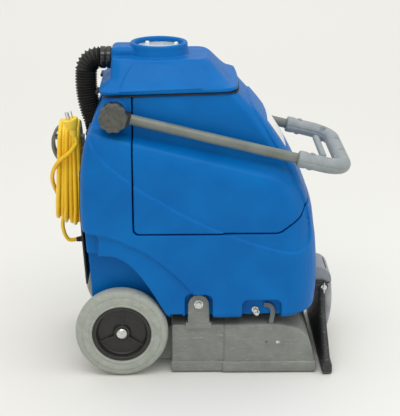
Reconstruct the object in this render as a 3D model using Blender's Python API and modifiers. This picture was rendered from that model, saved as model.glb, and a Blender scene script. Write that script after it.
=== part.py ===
"""A walk-behind carpet cleaner: wheels, base tank, lift-out recovery tank, domed lid, folding handle,
brush deck, vacuum shoe and the machinery inside.

Metres, +Z up, +X forward, symmetric about Y = 0. Pieces are drawn with x measured from the wheel axle,
and everything is moved by AXLE_X at the end so that the origin is under the middle of the machine.
"""

import math

import bmesh
import bpy
from mathutils import Matrix, Vector

# Driving dimensions
AXLE_X = -0.1712
WHEEL_R = 0.1016
WHEEL_OUT = 0.172
TYRE_WIDTH = 0.042
HUB_R = 0.064
AXLE_R = 0.008
GAP = 0.0003
WALL = 0.005
BODY_HALF = 0.172
COLUMN_HALF = 0.122
SLOT_X = 0.026
SLOT_WIDTH = 0.005
SEAM_Z = 0.332
SEAM_GAP = 0.003
PIVOT = (-0.0075, 0.586)
TUBE_Y = 0.1385
TUBE_R = 0.011
TUBE_SLOPE = math.radians(-13.9)
TUBE_FROM = 0.030
TUBE_TO = 0.395
GRIP_R = 0.017
GRIP_TO = 0.500
GRIP_CORNER = 0.048
KNOB_R = 0.030
LID_X = 0.0855
LID_TOP = 0.713
RING_R = 0.062
MOUTH_R = 0.051
HOSE_R = 0.022
CUFF_R = 0.025
DECK_HALF = 0.155
DECK_WALL = 0.005
DECK_PIVOT = (0.168, 0.166)
BRUSH_AT = (0.350, 0.0490)
BRUSH_R = 0.046
MOTOR_AT = (0.235, 0.176)
BELT_Y = 0.128
SHOE_PIVOT = (0.453, 0.160)
HOOK_PIVOT = (0.327, 0.100)
CORD_R = 0.00465
HANK_X = (-0.1306, -0.0876)
HANK_TOP = 0.549
HANK_LOW = 0.293
HANK_HALF = 0.054
HANK_HOLE = 0.0165
SIDES = {"left": 1, "right": -1}

# The body's levels, low to high: rear x and z, front x and z, half-width, front corner, and how much
# of the drop from rear to front comes late
BODY_LEVELS = [
    (-0.063, 0.135, 0.410, 0.137, 0.160, 0.055, 1.0),
    (-0.070, 0.147, 0.428, 0.152, 0.172, 0.070, 1.0),
    (-0.0745, 0.220, 0.432, 0.215, 0.172, 0.070, 1.0),
    (-0.0805, 0.324, 0.427, 0.300, 0.172, 0.070, 1.0),
    (-0.0825, 0.380, 0.422, 0.335, 0.172, 0.070, 1.0),
    (-0.080, 0.457, 0.418, 0.365, 0.172, 0.070, 1.0),
    (-0.072, 0.515, 0.409, 0.392, 0.1715, 0.070, 1.3),
    (-0.063, 0.548, 0.396, 0.425, 0.163, 0.066, 1.6),
    (-0.061, 0.556, 0.378, 0.462, 0.130, 0.045, 1.6),
    (-0.055, 0.572, 0.358, 0.497, 0.122, 0.035, 1.3),
    (-0.042, 0.597, 0.307, 0.570, 0.120, 0.032, 1.0),
    (-0.033, 0.617, 0.258, 0.625, 0.117, 0.030, 1.0),
]
DOME_LEVELS = [
    (-0.0375, 0.6212, 0.2530, 0.6292, 0.1180, 0.030, 1.0),
    (-0.0365, 0.6290, 0.2410, 0.6400, 0.1175, 0.032, 1.0),
    (-0.0300, 0.6360, 0.2280, 0.6500, 0.1080, 0.032, 1.0),
    (-0.0165, 0.6500, 0.2140, 0.6640, 0.0950, 0.030, 1.0),
    (-0.0150, 0.6790, 0.1960, 0.6830, 0.0760, 0.026, 1.0),
    (-0.0120, 0.6870, 0.1890, 0.6880, 0.0700, 0.024, 1.0),
]
REAR_CORNER = 0.028
FRONT_BOW = 0.012

for thing in list(bpy.data.objects):
    bpy.data.objects.remove(thing, do_unlink=True)

machine = bpy.data.collections.new("carpet_cleaner")
cutters = bpy.data.collections.new("cutters")
for group in (machine, cutters):
    bpy.context.scene.collection.children.link(group)

COLOURS = {
    "blue": ((0.008, 0.165, 0.470), 0.45, 0.0),
    "deck_grey": ((0.240, 0.242, 0.230), 0.75, 0.0),
    "dark_grey": ((0.060, 0.062, 0.060), 0.60, 0.0),
    "tube_grey": ((0.170, 0.180, 0.175), 0.50, 0.3),
    "grip_grey": ((0.285, 0.300, 0.300), 0.60, 0.0),
    "black": ((0.010, 0.010, 0.009), 0.50, 0.0),
    "tyre": ((0.330, 0.350, 0.320), 0.80, 0.0),
    "steel": ((0.600, 0.600, 0.600), 0.30, 1.0),
    "yellow": ((0.900, 0.560, 0.030), 0.50, 0.0),
    "white": ((0.720, 0.710, 0.650), 0.40, 0.0),
    "red": ((0.450, 0.020, 0.015), 0.40, 0.0),
    "brass": ((0.600, 0.450, 0.180), 0.35, 1.0),
}


def paint(thing, colour):
    """Gives an object its own material."""
    rgb, rough, metal = COLOURS[colour]
    material = bpy.data.materials.new(thing.name)
    material.use_nodes = True
    shader = material.node_tree.nodes["Principled BSDF"]
    shader.inputs["Base Color"].default_value = (*rgb, 1)
    shader.inputs["Roughness"].default_value = rough
    shader.inputs["Metallic"].default_value = metal
    thing.data.materials.append(material)


def add(name, data, colour):
    """Links a named object; a colour of None makes it a cutter."""
    thing = bpy.data.objects.new(name, data)
    if colour is None:
        cutters.objects.link(thing)
        thing.hide_render = True
        thing.display_type = "WIRE"
    else:
        machine.objects.link(thing)
        paint(thing, colour)
    return thing


def from_bmesh(name, bm, colour):
    """Turns a bmesh into an object with its faces outward."""
    bmesh.ops.recalc_face_normals(bm, faces=bm.faces)
    mesh = bpy.data.meshes.new(name)
    bm.to_mesh(mesh)
    bm.free()
    return add(name, mesh, colour)


def boolean(thing, other, how="DIFFERENCE"):
    """Cuts, joins or intersects one object with another."""
    step = thing.modifiers.new(how.lower(), "BOOLEAN")
    step.operation = how
    step.object = other
    step.solver = "MANIFOLD"
    return thing


def bevel(thing, width, segments=2):
    """Rounds an object's edges."""
    step = thing.modifiers.new("round", "BEVEL")
    step.width = width
    step.segments = segments
    step.limit_method = "ANGLE"
    step.angle_limit = math.radians(35)
    return thing


def block(name, low, high, colour, round_by=0.0):
    """A box between two corners."""
    bm = bmesh.new()
    bmesh.ops.create_cube(bm, size=1)
    size = Vector(high) - Vector(low)
    bmesh.ops.scale(bm, vec=size, verts=bm.verts)
    bmesh.ops.translate(bm, vec=(Vector(high) + Vector(low)) / 2, verts=bm.verts)
    thing = from_bmesh(name, bm, colour)
    return bevel(thing, round_by) if round_by else thing


def rod(name, start, end, radius, colour, end_radius=None, sides=24):
    """A round bar, or a taper, between two points."""
    start, end = Vector(start), Vector(end)
    bm = bmesh.new()
    bmesh.ops.create_cone(
        bm, cap_ends=True, segments=sides, depth=(end - start).length,
        radius1=radius, radius2=radius if end_radius is None else end_radius,
    )
    turn = Vector((0, 0, 1)).rotation_difference(end - start).to_matrix().to_4x4()
    bmesh.ops.transform(bm, matrix=Matrix.Translation((start + end) / 2) @ turn, verts=bm.verts)
    return from_bmesh(name, bm, colour)


def turned(name, profile, centre, axis, colour, steps=36):
    """A closed profile of (radius, height) points turned about an axis through centre."""
    mesh = bpy.data.meshes.new(name)
    count = len(profile)
    edges = [(i, (i + 1) % count) for i in range(count)]
    if profile[0][0] == 0 and profile[-1][0] == 0:
        edges.pop()
    mesh.from_pydata([(r, 0, h) for r, h in profile], edges, [])
    thing = add(name, mesh, colour)
    thing.location = centre
    thing.rotation_euler = Vector((0, 0, 1)).rotation_difference(Vector(axis)).to_euler()
    screw = thing.modifiers.new("turn", "SCREW")
    screw.steps = steps
    screw.render_steps = steps
    screw.use_merge_vertices = True
    screw.merge_threshold = 0.00001
    return thing


def rounded(corners, segments=5):
    """Points round an outline of (x, z, corner radius), with each corner an arc."""
    points = []
    for i, (x, z, r) in enumerate(corners):
        here = Vector((x, z))
        if r == 0:
            points.append(here)
            continue
        back = (Vector(corners[i - 1][:2]) - here).normalized()
        ahead = (Vector(corners[(i + 1) % len(corners)][:2]) - here).normalized()
        half = back.angle(ahead) / 2
        centre = here + (back + ahead).normalized() * r / math.sin(half)
        first = here + back * r / math.tan(half) - centre
        last = here + ahead * r / math.tan(half) - centre
        sweep = first.angle_signed(last)
        for k in range(segments + 1):
            turn = Matrix.Rotation(-sweep * k / segments, 2)
            points.append(centre + turn @ first)
    return points


def prism(name, corners, y_low, y_high, colour, segments=5):
    """An outline of (x, z, radius) corners extruded along Y, as a mesh."""
    data = bpy.data.curves.new(name, "CURVE")
    data.dimensions = "2D"
    data.fill_mode = "BOTH"
    data.extrude = (y_high - y_low) / 2
    points = rounded(corners, segments)
    spline = data.splines.new("POLY")
    spline.points.add(len(points) - 1)
    for point, place in zip(spline.points, points):
        point.co = (*place, 0, 1)
    spline.use_cyclic_u = True
    flat = bpy.data.objects.new(name + "_outline", data)
    bm = bmesh.new()
    bm.from_mesh(bpy.data.meshes.new_from_object(flat))
    bpy.data.objects.remove(flat)
    bmesh.ops.remove_doubles(bm, verts=bm.verts, dist=0.00001)
    stand = Matrix.Rotation(math.pi / 2, 4, "X")
    place = Matrix.Translation((0, (y_low + y_high) / 2, 0)) @ stand
    bmesh.ops.transform(bm, matrix=place, verts=bm.verts)
    return from_bmesh(name, bm, colour)


def strap(name, path, thick, y_low, y_high, colour):
    """A flat strip of even thickness bent along (x, z) points."""
    path = [Vector(p) for p in path]
    sides = []
    for i, here in enumerate(path):
        along = (path[min(i + 1, len(path) - 1)] - path[max(i - 1, 0)]).normalized()
        sides.append(Vector((-along.y, along.x)) * thick / 2)
    outer = [(*(p + s), 0) for p, s in zip(path, sides)]
    inner = [(*(p - s), 0) for p, s in zip(path, sides)]
    return prism(name, outer + inner[::-1], y_low, y_high, colour)


def pipe(name, points, radius, colour, resolution=3):
    """A round tube with closed ends along points."""
    data = bpy.data.curves.new(name, "CURVE")
    data.dimensions = "3D"
    data.bevel_depth = radius
    data.bevel_resolution = resolution
    data.use_fill_caps = True
    spline = data.splines.new("POLY")
    spline.points.add(len(points) - 1)
    for point, place in zip(spline.points, points):
        point.co = (*place, 1)
    return add(name, data, colour)


def smooth_path(route, step):
    """Evenly spaced points on a smooth curve through a route's points."""
    route = [Vector(p) for p in route]
    ends = [2 * route[0] - route[1], *route, 2 * route[-1] - route[-2]]
    fine = []
    for a, b, c, d in zip(ends, ends[1:], ends[2:], ends[3:]):
        for k in range(24):
            t = k / 24
            fine.append(
                0.5 * (2 * b + (c - a) * t + (2 * a - 5 * b + 4 * c - d) * t * t
                       + (3 * b - a - 3 * c + d) * t ** 3)
            )
    fine.append(route[-1])
    lengths = [0.0]
    for a, b in zip(fine, fine[1:]):
        lengths.append(lengths[-1] + (b - a).length)
    count = max(2, round(lengths[-1] / step))
    points, k = [], 0
    for i in range(count + 1):
        want = lengths[-1] * i / count
        while k < len(fine) - 2 and lengths[k + 1] < want:
            k += 1
        share = (want - lengths[k]) / max(lengths[k + 1] - lengths[k], 1e-9)
        points.append(fine[k].lerp(fine[k + 1], min(max(share, 0.0), 1.0)))
    return points


def ring(level, inset=0.0, lift=0.0, arc=4):
    """The points round one level of the body: a rounded box with a bowed front."""
    rear, rear_z, front, front_z, half, corner, late = level
    rear, front, half = rear + inset, front - inset, half - inset
    corner = max(corner - inset, 0.008)
    rear_corner = max(REAR_CORNER - inset, 0.008)
    flat = []
    for x, y, r, start in (
        (front, half, corner, 90), (rear, half, rear_corner, 180),
        (rear, -half, rear_corner, 270), (front, -half, corner, 0),
    ):
        cx = x - r if x == front else x + r
        cy = y - r if y > 0 else y + r
        sweep = [start - 90 + 90 * k / arc for k in range(arc + 1)]
        flat += [(cx + r * math.cos(math.radians(a)), cy + r * math.sin(math.radians(a))) for a in sweep]
    flat.append((front, -half / 3))
    flat.append((front, half / 3))
    points = []
    for x, y in flat:
        share = min(max((x - rear) / (front - rear), 0.0), 1.0)
        bow = FRONT_BOW * (y / BODY_HALF) ** 2 * share ** 6
        points.append((x - bow, y, rear_z + (front_z - rear_z) * share ** late + lift))
    return points


def loft(name, rings, colour):
    """A closed skin through a stack of rings."""
    bm = bmesh.new()
    rows = [[bm.verts.new(p) for p in points] for points in rings]
    count = len(rows[0])
    for low, high in zip(rows, rows[1:]):
        for i in range(count):
            j = (i + 1) % count
            bm.faces.new((low[i], low[j], high[j], high[i]))
    bm.faces.new(rows[0][::-1])
    bm.faces.new(rows[-1])
    return from_bmesh(name, bm, colour)


def body_rings(inset=0.0):
    """The rings of the whole body; an inset one is open past both ends."""
    rings = [ring(level, inset) for level in BODY_LEVELS]
    if inset:
        rings.insert(0, ring(BODY_LEVELS[0], inset, lift=-0.05))
        rings.append(ring(BODY_LEVELS[-1], inset, lift=0.05))
    return rings


def tank_region(name, grow, colour=None):
    """The side outline that the recovery tank fills, grown all round."""
    rear = SLOT_X + SLOT_WIDTH - grow
    low = SEAM_Z + SEAM_GAP - grow
    return prism(
        name,
        [(rear, low, 0.012), (0.348 + grow / 2, low, 0.02), (0.383 + grow / 2, 0.366 - grow, 0.0),
         (0.398, 0.392 - grow, 0.0), (0.50, 0.402 - grow, 0.0), (0.50, 0.80, 0.0), (rear, 0.80, 0.0)],
        -0.2, 0.2, colour,
    )


def arch(name, grow, side):
    """The wheel arch as a cutter, outside the inner wall."""
    return prism(
        name,
        [(-0.12, 0.09, 0), (-0.12, 0.292 + grow, 0), (-0.042, 0.283 + grow, 0.03),
         (0.0215, 0.2595 + grow, 0.03), (0.053 + grow, 0.220, 0.03), (0.095 + grow, 0.149, 0.01),
         (0.103 + grow, 0.09, 0)],
        *sorted((side * (COLUMN_HALF - grow), side * 0.25)), None,
    )


def notch(name, low_x, high_x, top, grow, side):
    """A side notch in the body's lower edge as a cutter."""
    return prism(
        name,
        [(low_x - grow, 0.09, 0), (low_x - grow, top + grow, 0.02), (high_x + grow, top + grow, 0.02),
         (high_x + grow, 0.09, 0)],
        *sorted((side * (0.144 - grow), side * 0.25)), None,
    )


def base_tank():
    """The lower body with the rear column: a thin shell, open below for the machinery."""
    shell = loft("base_tank", body_rings(), "blue")
    boolean(shell, tank_region("cut_tank_place", SEAM_GAP))
    hollow = loft("cut_base_hollow", body_rings(WALL), None)
    boolean(hollow, tank_region("cut_tank_floor", SEAM_GAP + WALL))
    lid = block("cut_column_top", (-0.2, -0.2, 0.608), (0.2, 0.2, 0.75), None)
    boolean(hollow, lid)
    channel = block("cut_channel", (-0.12, -0.0305, 0.487), (-0.0265, 0.0305, 0.70), None)
    thick = block("cut_channel_wall", (-0.12, -0.0355, 0.482), (-0.0215, 0.0355, 0.70), None)
    boolean(hollow, thick)
    bx, bz = PIVOT
    for side, y in SIDES.items():
        boss = rod("join_handle_boss_" + side, (bx, y * 0.117, bz), (bx, y * 0.1270, bz), 0.025, None)
        boolean(shell, boss, "UNION")
        boolean(shell, arch("cut_arch_" + side, 0, y))
        boolean(hollow, arch("cut_arch_wall_" + side, WALL, y))
        boolean(shell, notch("cut_lug_notch_" + side, 0.138, 0.198, 0.194, 0, y))
        boolean(hollow, notch("cut_lug_wall_" + side, 0.138, 0.198, 0.194, WALL, y))
        boolean(shell, notch("cut_hook_notch_" + side, 0.262, 0.347, 0.182, 0, y))
        boolean(hollow, notch("cut_hook_wall_" + side, 0.262, 0.347, 0.182, WALL, y))
    boolean(shell, hollow)
    boolean(shell, channel)
    boolean(shell, rod("cut_axle", (0, -0.2, WHEEL_R), (0, 0.2, WHEEL_R), AXLE_R + GAP, None))
    px, pz = DECK_PIVOT
    boolean(shell, rod("cut_deck_pivot", (px, -0.2, pz), (px, 0.2, pz), 0.0063, None))
    boolean(shell, rod("cut_hose_hole", (-0.0525, 0, 0.46), (-0.0525, 0, 0.50), 0.018, None))
    boolean(shell, rod("cut_fill_neck", (0.0, 0.07, 0.59), (0.0, 0.07, 0.65), 0.018, None))
    boolean(shell, block("cut_duct_hole", (0.40, -0.035, 0.178), (0.46, 0.035, 0.200), None))
    return shell


def recovery_tank():
    """The tank that fills the front and top of the body, open under the lid."""
    tank = loft("recovery_tank", body_rings(), "blue")
    boolean(tank, tank_region("keep_tank", 0), "INTERSECT")
    inside = loft("cut_tank_hollow", body_rings(WALL), None)
    boolean(inside, tank_region("keep_tank_hollow", -WALL), "INTERSECT")
    return boolean(tank, inside)


def lid():
    """The domed lid with its window ring, gasket, float cage and float."""
    dome = loft("dome_lid", [ring(level) for level in DOME_LEVELS], "blue")
    collar = rod("join_collar", (LID_X, 0, 0.675), (LID_X, 0, LID_TOP), RING_R, None, sides=40)
    boolean(dome, collar, "UNION")
    neck = block("join_neck", (-0.0162, -0.036, 0.672), (0.060, 0.036, 0.706), None, 0.008)
    boolean(dome, neck, "UNION")
    hollow = loft(
        "cut_dome_hollow",
        [ring(DOME_LEVELS[0], WALL, -0.02)] + [ring(level, WALL, -WALL) for level in DOME_LEVELS],
        None,
    )
    boolean(dome, hollow)
    boolean(dome, rod("cut_mouth", (LID_X, 0, 0.699), (LID_X, 0, 0.75), MOUTH_R, None, sides=40))
    boolean(dome, rod("cut_window", (LID_X, 0, 0.66), (LID_X, 0, 0.75), 0.043, None, sides=40))
    boolean(dome, rod("cut_outlet", (-0.03, 0, 0.6785), (0.006, 0, 0.6785), 0.0185, None))
    pane = rod("lid_window", (LID_X, 0, 0.699 + GAP), (LID_X, 0, 0.702), MOUTH_R - GAP, "white", sides=40)
    rim = [ring(BODY_LEVELS[-1], 0.001, lift) for lift in (GAP, 0.0028)]
    seal = loft("lid_gasket", rim, "black")
    inner = [ring(BODY_LEVELS[-1], 0.0045, lift) for lift in (-0.01, 0.02)]
    boolean(seal, loft("cut_gasket", inner, None))
    boolean(seal, block("cut_gasket_cap", (-0.2, -0.03, 0.60), (-0.02, 0.03, 0.65), None))
    cup = [(0.0265, 0.075), (0.0265, 0.0), (0.010, 0.0), (0.010, 0.004), (0.0245, 0.004), (0.0245, 0.075)]
    turned("float_cage", cup, (LID_X, 0, 0.600), (0, 0, 1), "dark_grey", 24)
    bm = bmesh.new()
    bmesh.ops.create_uvsphere(bm, u_segments=16, v_segments=10, radius=0.016)
    ball = from_bmesh("float_ball", bm, "white")
    ball.location = (LID_X, 0, 0.6215)
    for side, y in SIDES.items():
        rod(f"lid_hinge_{side}", (-0.0425, y * 0.062, 0.6245), (-0.0425, y * 0.100, 0.6245), 0.004, "steel")
    return dome, pane


def hose():
    """The vacuum hose that runs from the lid's outlet down into the column."""
    top, bend = 0.6785, 0.029
    rod("lid_cuff", (-0.0400, 0, top), (-0.0165, 0, top), CUFF_R - 0.001, "black", sides=28)
    rod("base_cuff", (-0.0525, 0, 0.487 + GAP), (-0.0525, 0, 0.512), CUFF_R, "black", sides=28)
    route = [(-0.0403, 0, top), (-0.0420, 0, top)]
    for k in range(1, 7):
        turn = math.radians(15 * k)
        route.append((-0.0425 - bend * math.sin(turn), 0, top - bend * (1 - math.cos(turn))))
    route += [(-0.0725, 0, 0.620), (-0.0690, 0, 0.585), (-0.0610, 0, 0.553), (-0.0545, 0, 0.532),
              (-0.0525, 0, 0.5150), (-0.0525, 0, 0.5123)]
    pipe("vacuum_hose", route, HOSE_R, "black", 4)


def wheels():
    """Two wheels on one axle, each a tyre on a dished hub with a cap nut."""
    length = WHEEL_OUT - 0.012
    rod("axle", (0, -length, WHEEL_R), (0, length, WHEEL_R), AXLE_R, "steel")
    half = TYRE_WIDTH / 2
    tread = [(HUB_R + GAP, half - 0.004), (HUB_R + 0.006, half), (0.084, half - 0.0005), (0.087, half - 0.003),
             (0.096, half - 0.003), (0.1000, half - 0.008), (WHEEL_R, half - 0.014)]
    tyre = tread + [(r, -h) for r, h in reversed(tread)]
    dish = [(AXLE_R + GAP, 0.012), (0.017, 0.012), (0.017, 0.004), (0.054, 0.004), (0.057, half - 0.004),
            (HUB_R, half - 0.005), (HUB_R, -half + 0.005), (0.057, -half + 0.004), (0.054, -0.004),
            (0.017, -0.004), (0.017, -half + 0.003), (AXLE_R + GAP, -half + 0.003)]
    for side, y in SIDES.items():
        centre = (0, y * (WHEEL_OUT - half), WHEEL_R)
        out = (0, y, 0)
        turned(f"tyre_{side}", tyre, centre, out, "tyre", 40)
        turned(f"wheel_hub_{side}", dish, centre, out, "black", 28)
        face = y * (WHEEL_OUT - half + 0.012 + GAP)
        rod(f"axle_cap_{side}", (0, face, WHEEL_R), (0, face + y * 0.007, WHEEL_R), 0.0125, "steel",
            end_radius=0.010)


def handle_point(reach):
    """A point on the handle's line, that far from its pivot, as (x, z)."""
    return PIVOT[0] + reach * math.cos(TUBE_SLOPE), PIVOT[1] + reach * math.sin(TUBE_SLOPE)


def scalloped(name, radius, lobes, y_low, y_high, colour):
    """A knob with rounded lobes round its rim, about the handle's pivot."""
    corners = []
    for k in range(lobes * 4):
        turn = 2 * math.pi * k / (lobes * 4)
        r = radius - 0.0022 * (1 - math.cos(turn * lobes)) / 2
        corners.append((r * math.cos(turn), r * math.sin(turn), 0))
    knob = prism(name, corners, y_low, y_high, colour)
    knob.location = (PIVOT[0], 0, PIVOT[1])
    return knob


def handle():
    """The folding handle: clamps, brackets, tubes, the moulded grip and its trigger."""
    px, pz = PIVOT
    for side, y in SIDES.items():
        bracket = rod(f"handle_bracket_{side}", (px, y * 0.1274, pz), (px, y * 0.1500, pz), 0.0265,
                      "dark_grey", sides=32)
        arm = block("join_arm_" + side, (0.0, -0.0113, -0.0125), (TUBE_FROM + 0.0045, 0.0113, 0.0125), None)
        arm.location = (px, y * 0.1387, pz)
        arm.rotation_euler = (0, -TUBE_SLOPE, 0)
        boolean(bracket, arm, "UNION")
        near, far = handle_point(TUBE_FROM + 0.005), handle_point(TUBE_TO)
        rod(f"handle_tube_{side}", (near[0], y * TUBE_Y, near[1]), (far[0], y * TUBE_Y, far[1]), TUBE_R,
            "tube_grey")
        scalloped(f"clamp_knob_{side}", KNOB_R, 10, *sorted((y * 0.1505, y * 0.1715)), "dark_grey")
    bend = []
    for k in range(7):
        turn = math.radians(90 * k / 6)
        bend.append((GRIP_TO - GRIP_CORNER * (1 - math.sin(turn)), TUBE_Y - GRIP_CORNER * (1 - math.cos(turn))))
    start = (TUBE_TO + GAP, TUBE_Y)
    route = [start] + bend + [(r, -y) for r, y in reversed(bend)] + [(start[0], -start[1])]
    points = []
    for reach, y in route:
        x, z = handle_point(reach)
        points.append((x, y, z))
    pipe("grip", points, GRIP_R, "grip_grey", 3)
    bar = block("trigger_bar", (0.452, -0.075, -0.006), (0.466, 0.075, 0.006), "grip_grey", 0.004)
    bar.location = (px, 0, pz)
    bar.rotation_euler = (0, -TUBE_SLOPE, 0)


def deck():
    """The brush deck: housing with pivot lugs, brush roller, motor, belt, spray bar and lift hooks."""
    outline = [(0.109, 0.004, 0.004), (0.109, 0.116, 0.006), (0.223, 0.116, 0), (0.352, 0.113, 0.05),
               (0.412, 0.080, 0.03), (0.425, 0.035, 0), (0.425, 0.004, 0.003)]
    housing = prism("brush_housing", outline, -DECK_HALF, DECK_HALF, "deck_grey")
    lip = [(0.107, 0.003, 0.003), (0.107, 0.028, 0.002), (0.4275, 0.028, 0.002), (0.4275, 0.003, 0.003)]
    boolean(housing, prism("join_lip", lip, -DECK_HALF - 0.003, DECK_HALF + 0.003, None), "UNION")
    t = DECK_WALL
    inside = [(0.109 + t, -0.02, 0), (0.109 + t, 0.116 - t, 0.004), (0.223, 0.116 - t, 0),
              (0.350, 0.113 - t, 0.045), (0.408, 0.078, 0.026), (0.425 - t, 0.034, 0), (0.425 - t, -0.02, 0)]
    boolean(housing, prism("cut_deck_inside", inside, -DECK_HALF + t, DECK_HALF - t, None))
    boolean(housing, block("cut_belt_slot", (0.245, 0.117, 0.09), (0.338, 0.141, 0.13), None))
    px, pz = DECK_PIVOT
    bx, bz = BRUSH_AT
    for side, y in SIDES.items():
        lug = [(0.144, 0.108, 0), (0.146, 0.186, 0.020), (0.190, 0.186, 0.020), (0.192, 0.108, 0)]
        boolean(housing, prism("join_lug_" + side, lug, *sorted((y * 0.1455, y * DECK_HALF)), None), "UNION")
        hole = rod("cut_lug_" + side, (px, y * 0.13, pz), (px, y * 0.17, pz), 0.0063, None)
        boolean(housing, hole)
        bolt = rod(f"deck_pivot_bolt_{side}", (px, y * 0.1385, pz), (px, y * 0.1575, pz), 0.006, "steel")
        head = rod("join_head_" + side, (px, y * (DECK_HALF + GAP), pz), (px, y * 0.1625, pz), 0.0095, None,
                   sides=6)
        boolean(bolt, head, "UNION")
        boss = rod("join_bearing_" + side, (bx, y * 0.1465, bz), (bx, y * (DECK_HALF - 0.001), bz), 0.016, None)
        boolean(housing, boss, "UNION")
        boolean(housing, rod("cut_bearing_" + side, (bx, y * 0.13, bz), (bx, y * 0.1495, bz), 0.0063, None))
        hx, hz = HOOK_PIVOT
        path = [(hx, hz - 0.008), (hx + 0.0005, hz + 0.015), (hx + 0.003, hz + 0.040), (hx + 0.002, hz + 0.053),
                (hx - 0.005, hz + 0.061), (hx - 0.014, hz + 0.062)]
        hook = strap(f"lift_hook_{side}", path, 0.012, *sorted((y * (DECK_HALF + GAP), y * 0.1583)), "tube_grey")
        boolean(hook, rod("join_hook_screw_" + side, (hx, y * 0.1575, hz), (hx, y * 0.1610, hz), 0.0058, None),
                "UNION")
        rod(f"lift_stud_{side}", (0.293, y * 0.1443, 0.147), (0.293, y * 0.1575, 0.147), 0.0085, "steel", sides=16)
    core = rod("brush_roller", (bx, -0.137, bz), (bx, 0.112, bz), BRUSH_R, "white")
    for y_low, y_high in ((-0.148, -0.13), (0.10, 0.148)):
        boolean(core, rod(f"join_shaft_{y_low:.2f}", (bx, y_low, bz), (bx, y_high, bz), 0.006, None), "UNION")
    pulley = rod("join_brush_pulley", (bx, 0.120, bz), (bx, 0.135, bz), 0.026, None)
    boolean(core, pulley, "UNION")
    mx, mz = MOTOR_AT
    rod("brush_motor", (mx, -0.075, mz), (mx, 0.100, mz), 0.045, "black", sides=32)
    shaft = rod("motor_pulley", (mx, 0.1003, mz), (mx, 0.134, mz), 0.005, "steel", sides=16)
    boolean(shaft, rod("join_motor_pulley", (mx, 0.121, mz), (mx, 0.134, mz), 0.014, None, sides=24), "UNION")
    belt()
    spray = rod("spray_bar", (0.268, -0.105, 0.094), (0.268, 0.105, 0.094), 0.006, "black", sides=16)
    for k, y in enumerate((-0.06, 0.06)):
        jet = rod(f"join_jet_{k + 1}", (0.268, y, 0.092), (0.268, y, 0.072), 0.0055, None, end_radius=0.0035,
                  sides=12)
        boolean(spray, jet, "UNION")
    return housing, spray


def belt():
    """The toothed belt round the motor and brush pulleys, as one loop."""
    (bx, bz), (mx, mz) = BRUSH_AT, MOTOR_AT
    span = Vector((mx - bx, mz - bz))
    tilt = math.atan2(span.y, span.x)
    big, small = 0.026, 0.014
    spread = math.acos((big - small) / span.length)

    def loop(extra):
        corners = []
        for k in range(11):
            turn = tilt + spread + (2 * math.pi - 2 * spread) * k / 10
            corners.append((bx + (big + extra) * math.cos(turn), bz + (big + extra) * math.sin(turn), 0))
        for k in range(9):
            turn = tilt - spread + 2 * spread * k / 8
            corners.append((mx + (small + extra) * math.cos(turn), mz + (small + extra) * math.sin(turn), 0))
        return corners

    band = prism("drive_belt", loop(0.0035), BELT_Y - 0.006, BELT_Y + 0.004, "black")
    boolean(band, prism("cut_belt", loop(0.0005), BELT_Y - 0.02, BELT_Y + 0.02, None))


def shoe_ring(x_low, x_high, half, z, inset=0.0):
    """One level of the vacuum shoe: a thin rounded box."""
    r = min((x_high - x_low) / 2 - inset, 0.006)
    points = []
    for sx, sy, start in ((1, 1, 0), (-1, 1, 90), (-1, -1, 180), (1, -1, 270)):
        cx = (x_high - inset - r) if sx > 0 else (x_low + inset + r)
        cy = sy * (half - inset - r)
        for k in range(3):
            turn = math.radians(start + 45 * k)
            points.append((cx + r * math.cos(turn), cy + r * math.sin(turn), z))
    return points


def vacuum_shoe():
    """The fan-shaped pick-up shoe in front of the brush, its pins and the duct into the body."""
    levels = [(0.4450, 0.4610, 0.170, 0.002), (0.4450, 0.4610, 0.169, 0.026), (0.4420, 0.4660, 0.132, 0.056),
              (0.4395, 0.4715, 0.088, 0.085), (0.4375, 0.4740, 0.058, 0.112), (0.4370, 0.4715, 0.046, 0.146),
              (0.4370, 0.4700, 0.045, 0.166)]
    shoe = loft("vac_shoe", [shoe_ring(*level) for level in levels], "dark_grey")
    inner = [shoe_ring(*level, inset=0.003) for level in levels]
    inner.insert(0, shoe_ring(0.4450, 0.4610, 0.170, -0.02, 0.003))
    inner.append(shoe_ring(0.4370, 0.4700, 0.045, 0.19, 0.003))
    boolean(shoe, loft("cut_shoe", inner, None))
    sx, sz = SHOE_PIVOT
    for side, y in SIDES.items():
        plate = prism(
            f"shoe_bracket_{side}",
            [(0.4305, 0.150, 0), (0.4305, 0.176, 0), (0.455, 0.176, 0.005), (0.463, 0.160, 0.006),
             (0.455, 0.150, 0.004)],
            *sorted((y * 0.0470, y * 0.0505)), "dark_grey",
        )
        boolean(plate, rod("cut_bracket_" + side, (sx, y * 0.04, sz), (sx, y * 0.06, sz), 0.0038, None))
        knob = rod(f"shoe_knob_{side}", (sx, y * 0.0464, sz), (sx, y * 0.060, sz), 0.0035, "steel", sides=16)
        wings = block("join_wings_" + side, (-0.002, -0.0045, -0.013), (0.002, 0.0045, 0.013), None)
        wings.location = (sx, y * 0.0560, sz)
        boolean(knob, wings, "UNION")
    duct = block("shoe_duct", (0.4335, -0.0455, 0.1705), (0.4700, 0.0455, 0.2060), "dark_grey", 0.004)
    boolean(duct, block("cut_duct", (0.42, -0.034, 0.178), (0.462, 0.034, 0.200), None))
    boolean(duct, block("cut_duct_low", (0.441, -0.034, 0.16), (0.462, 0.034, 0.190), None))


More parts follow.
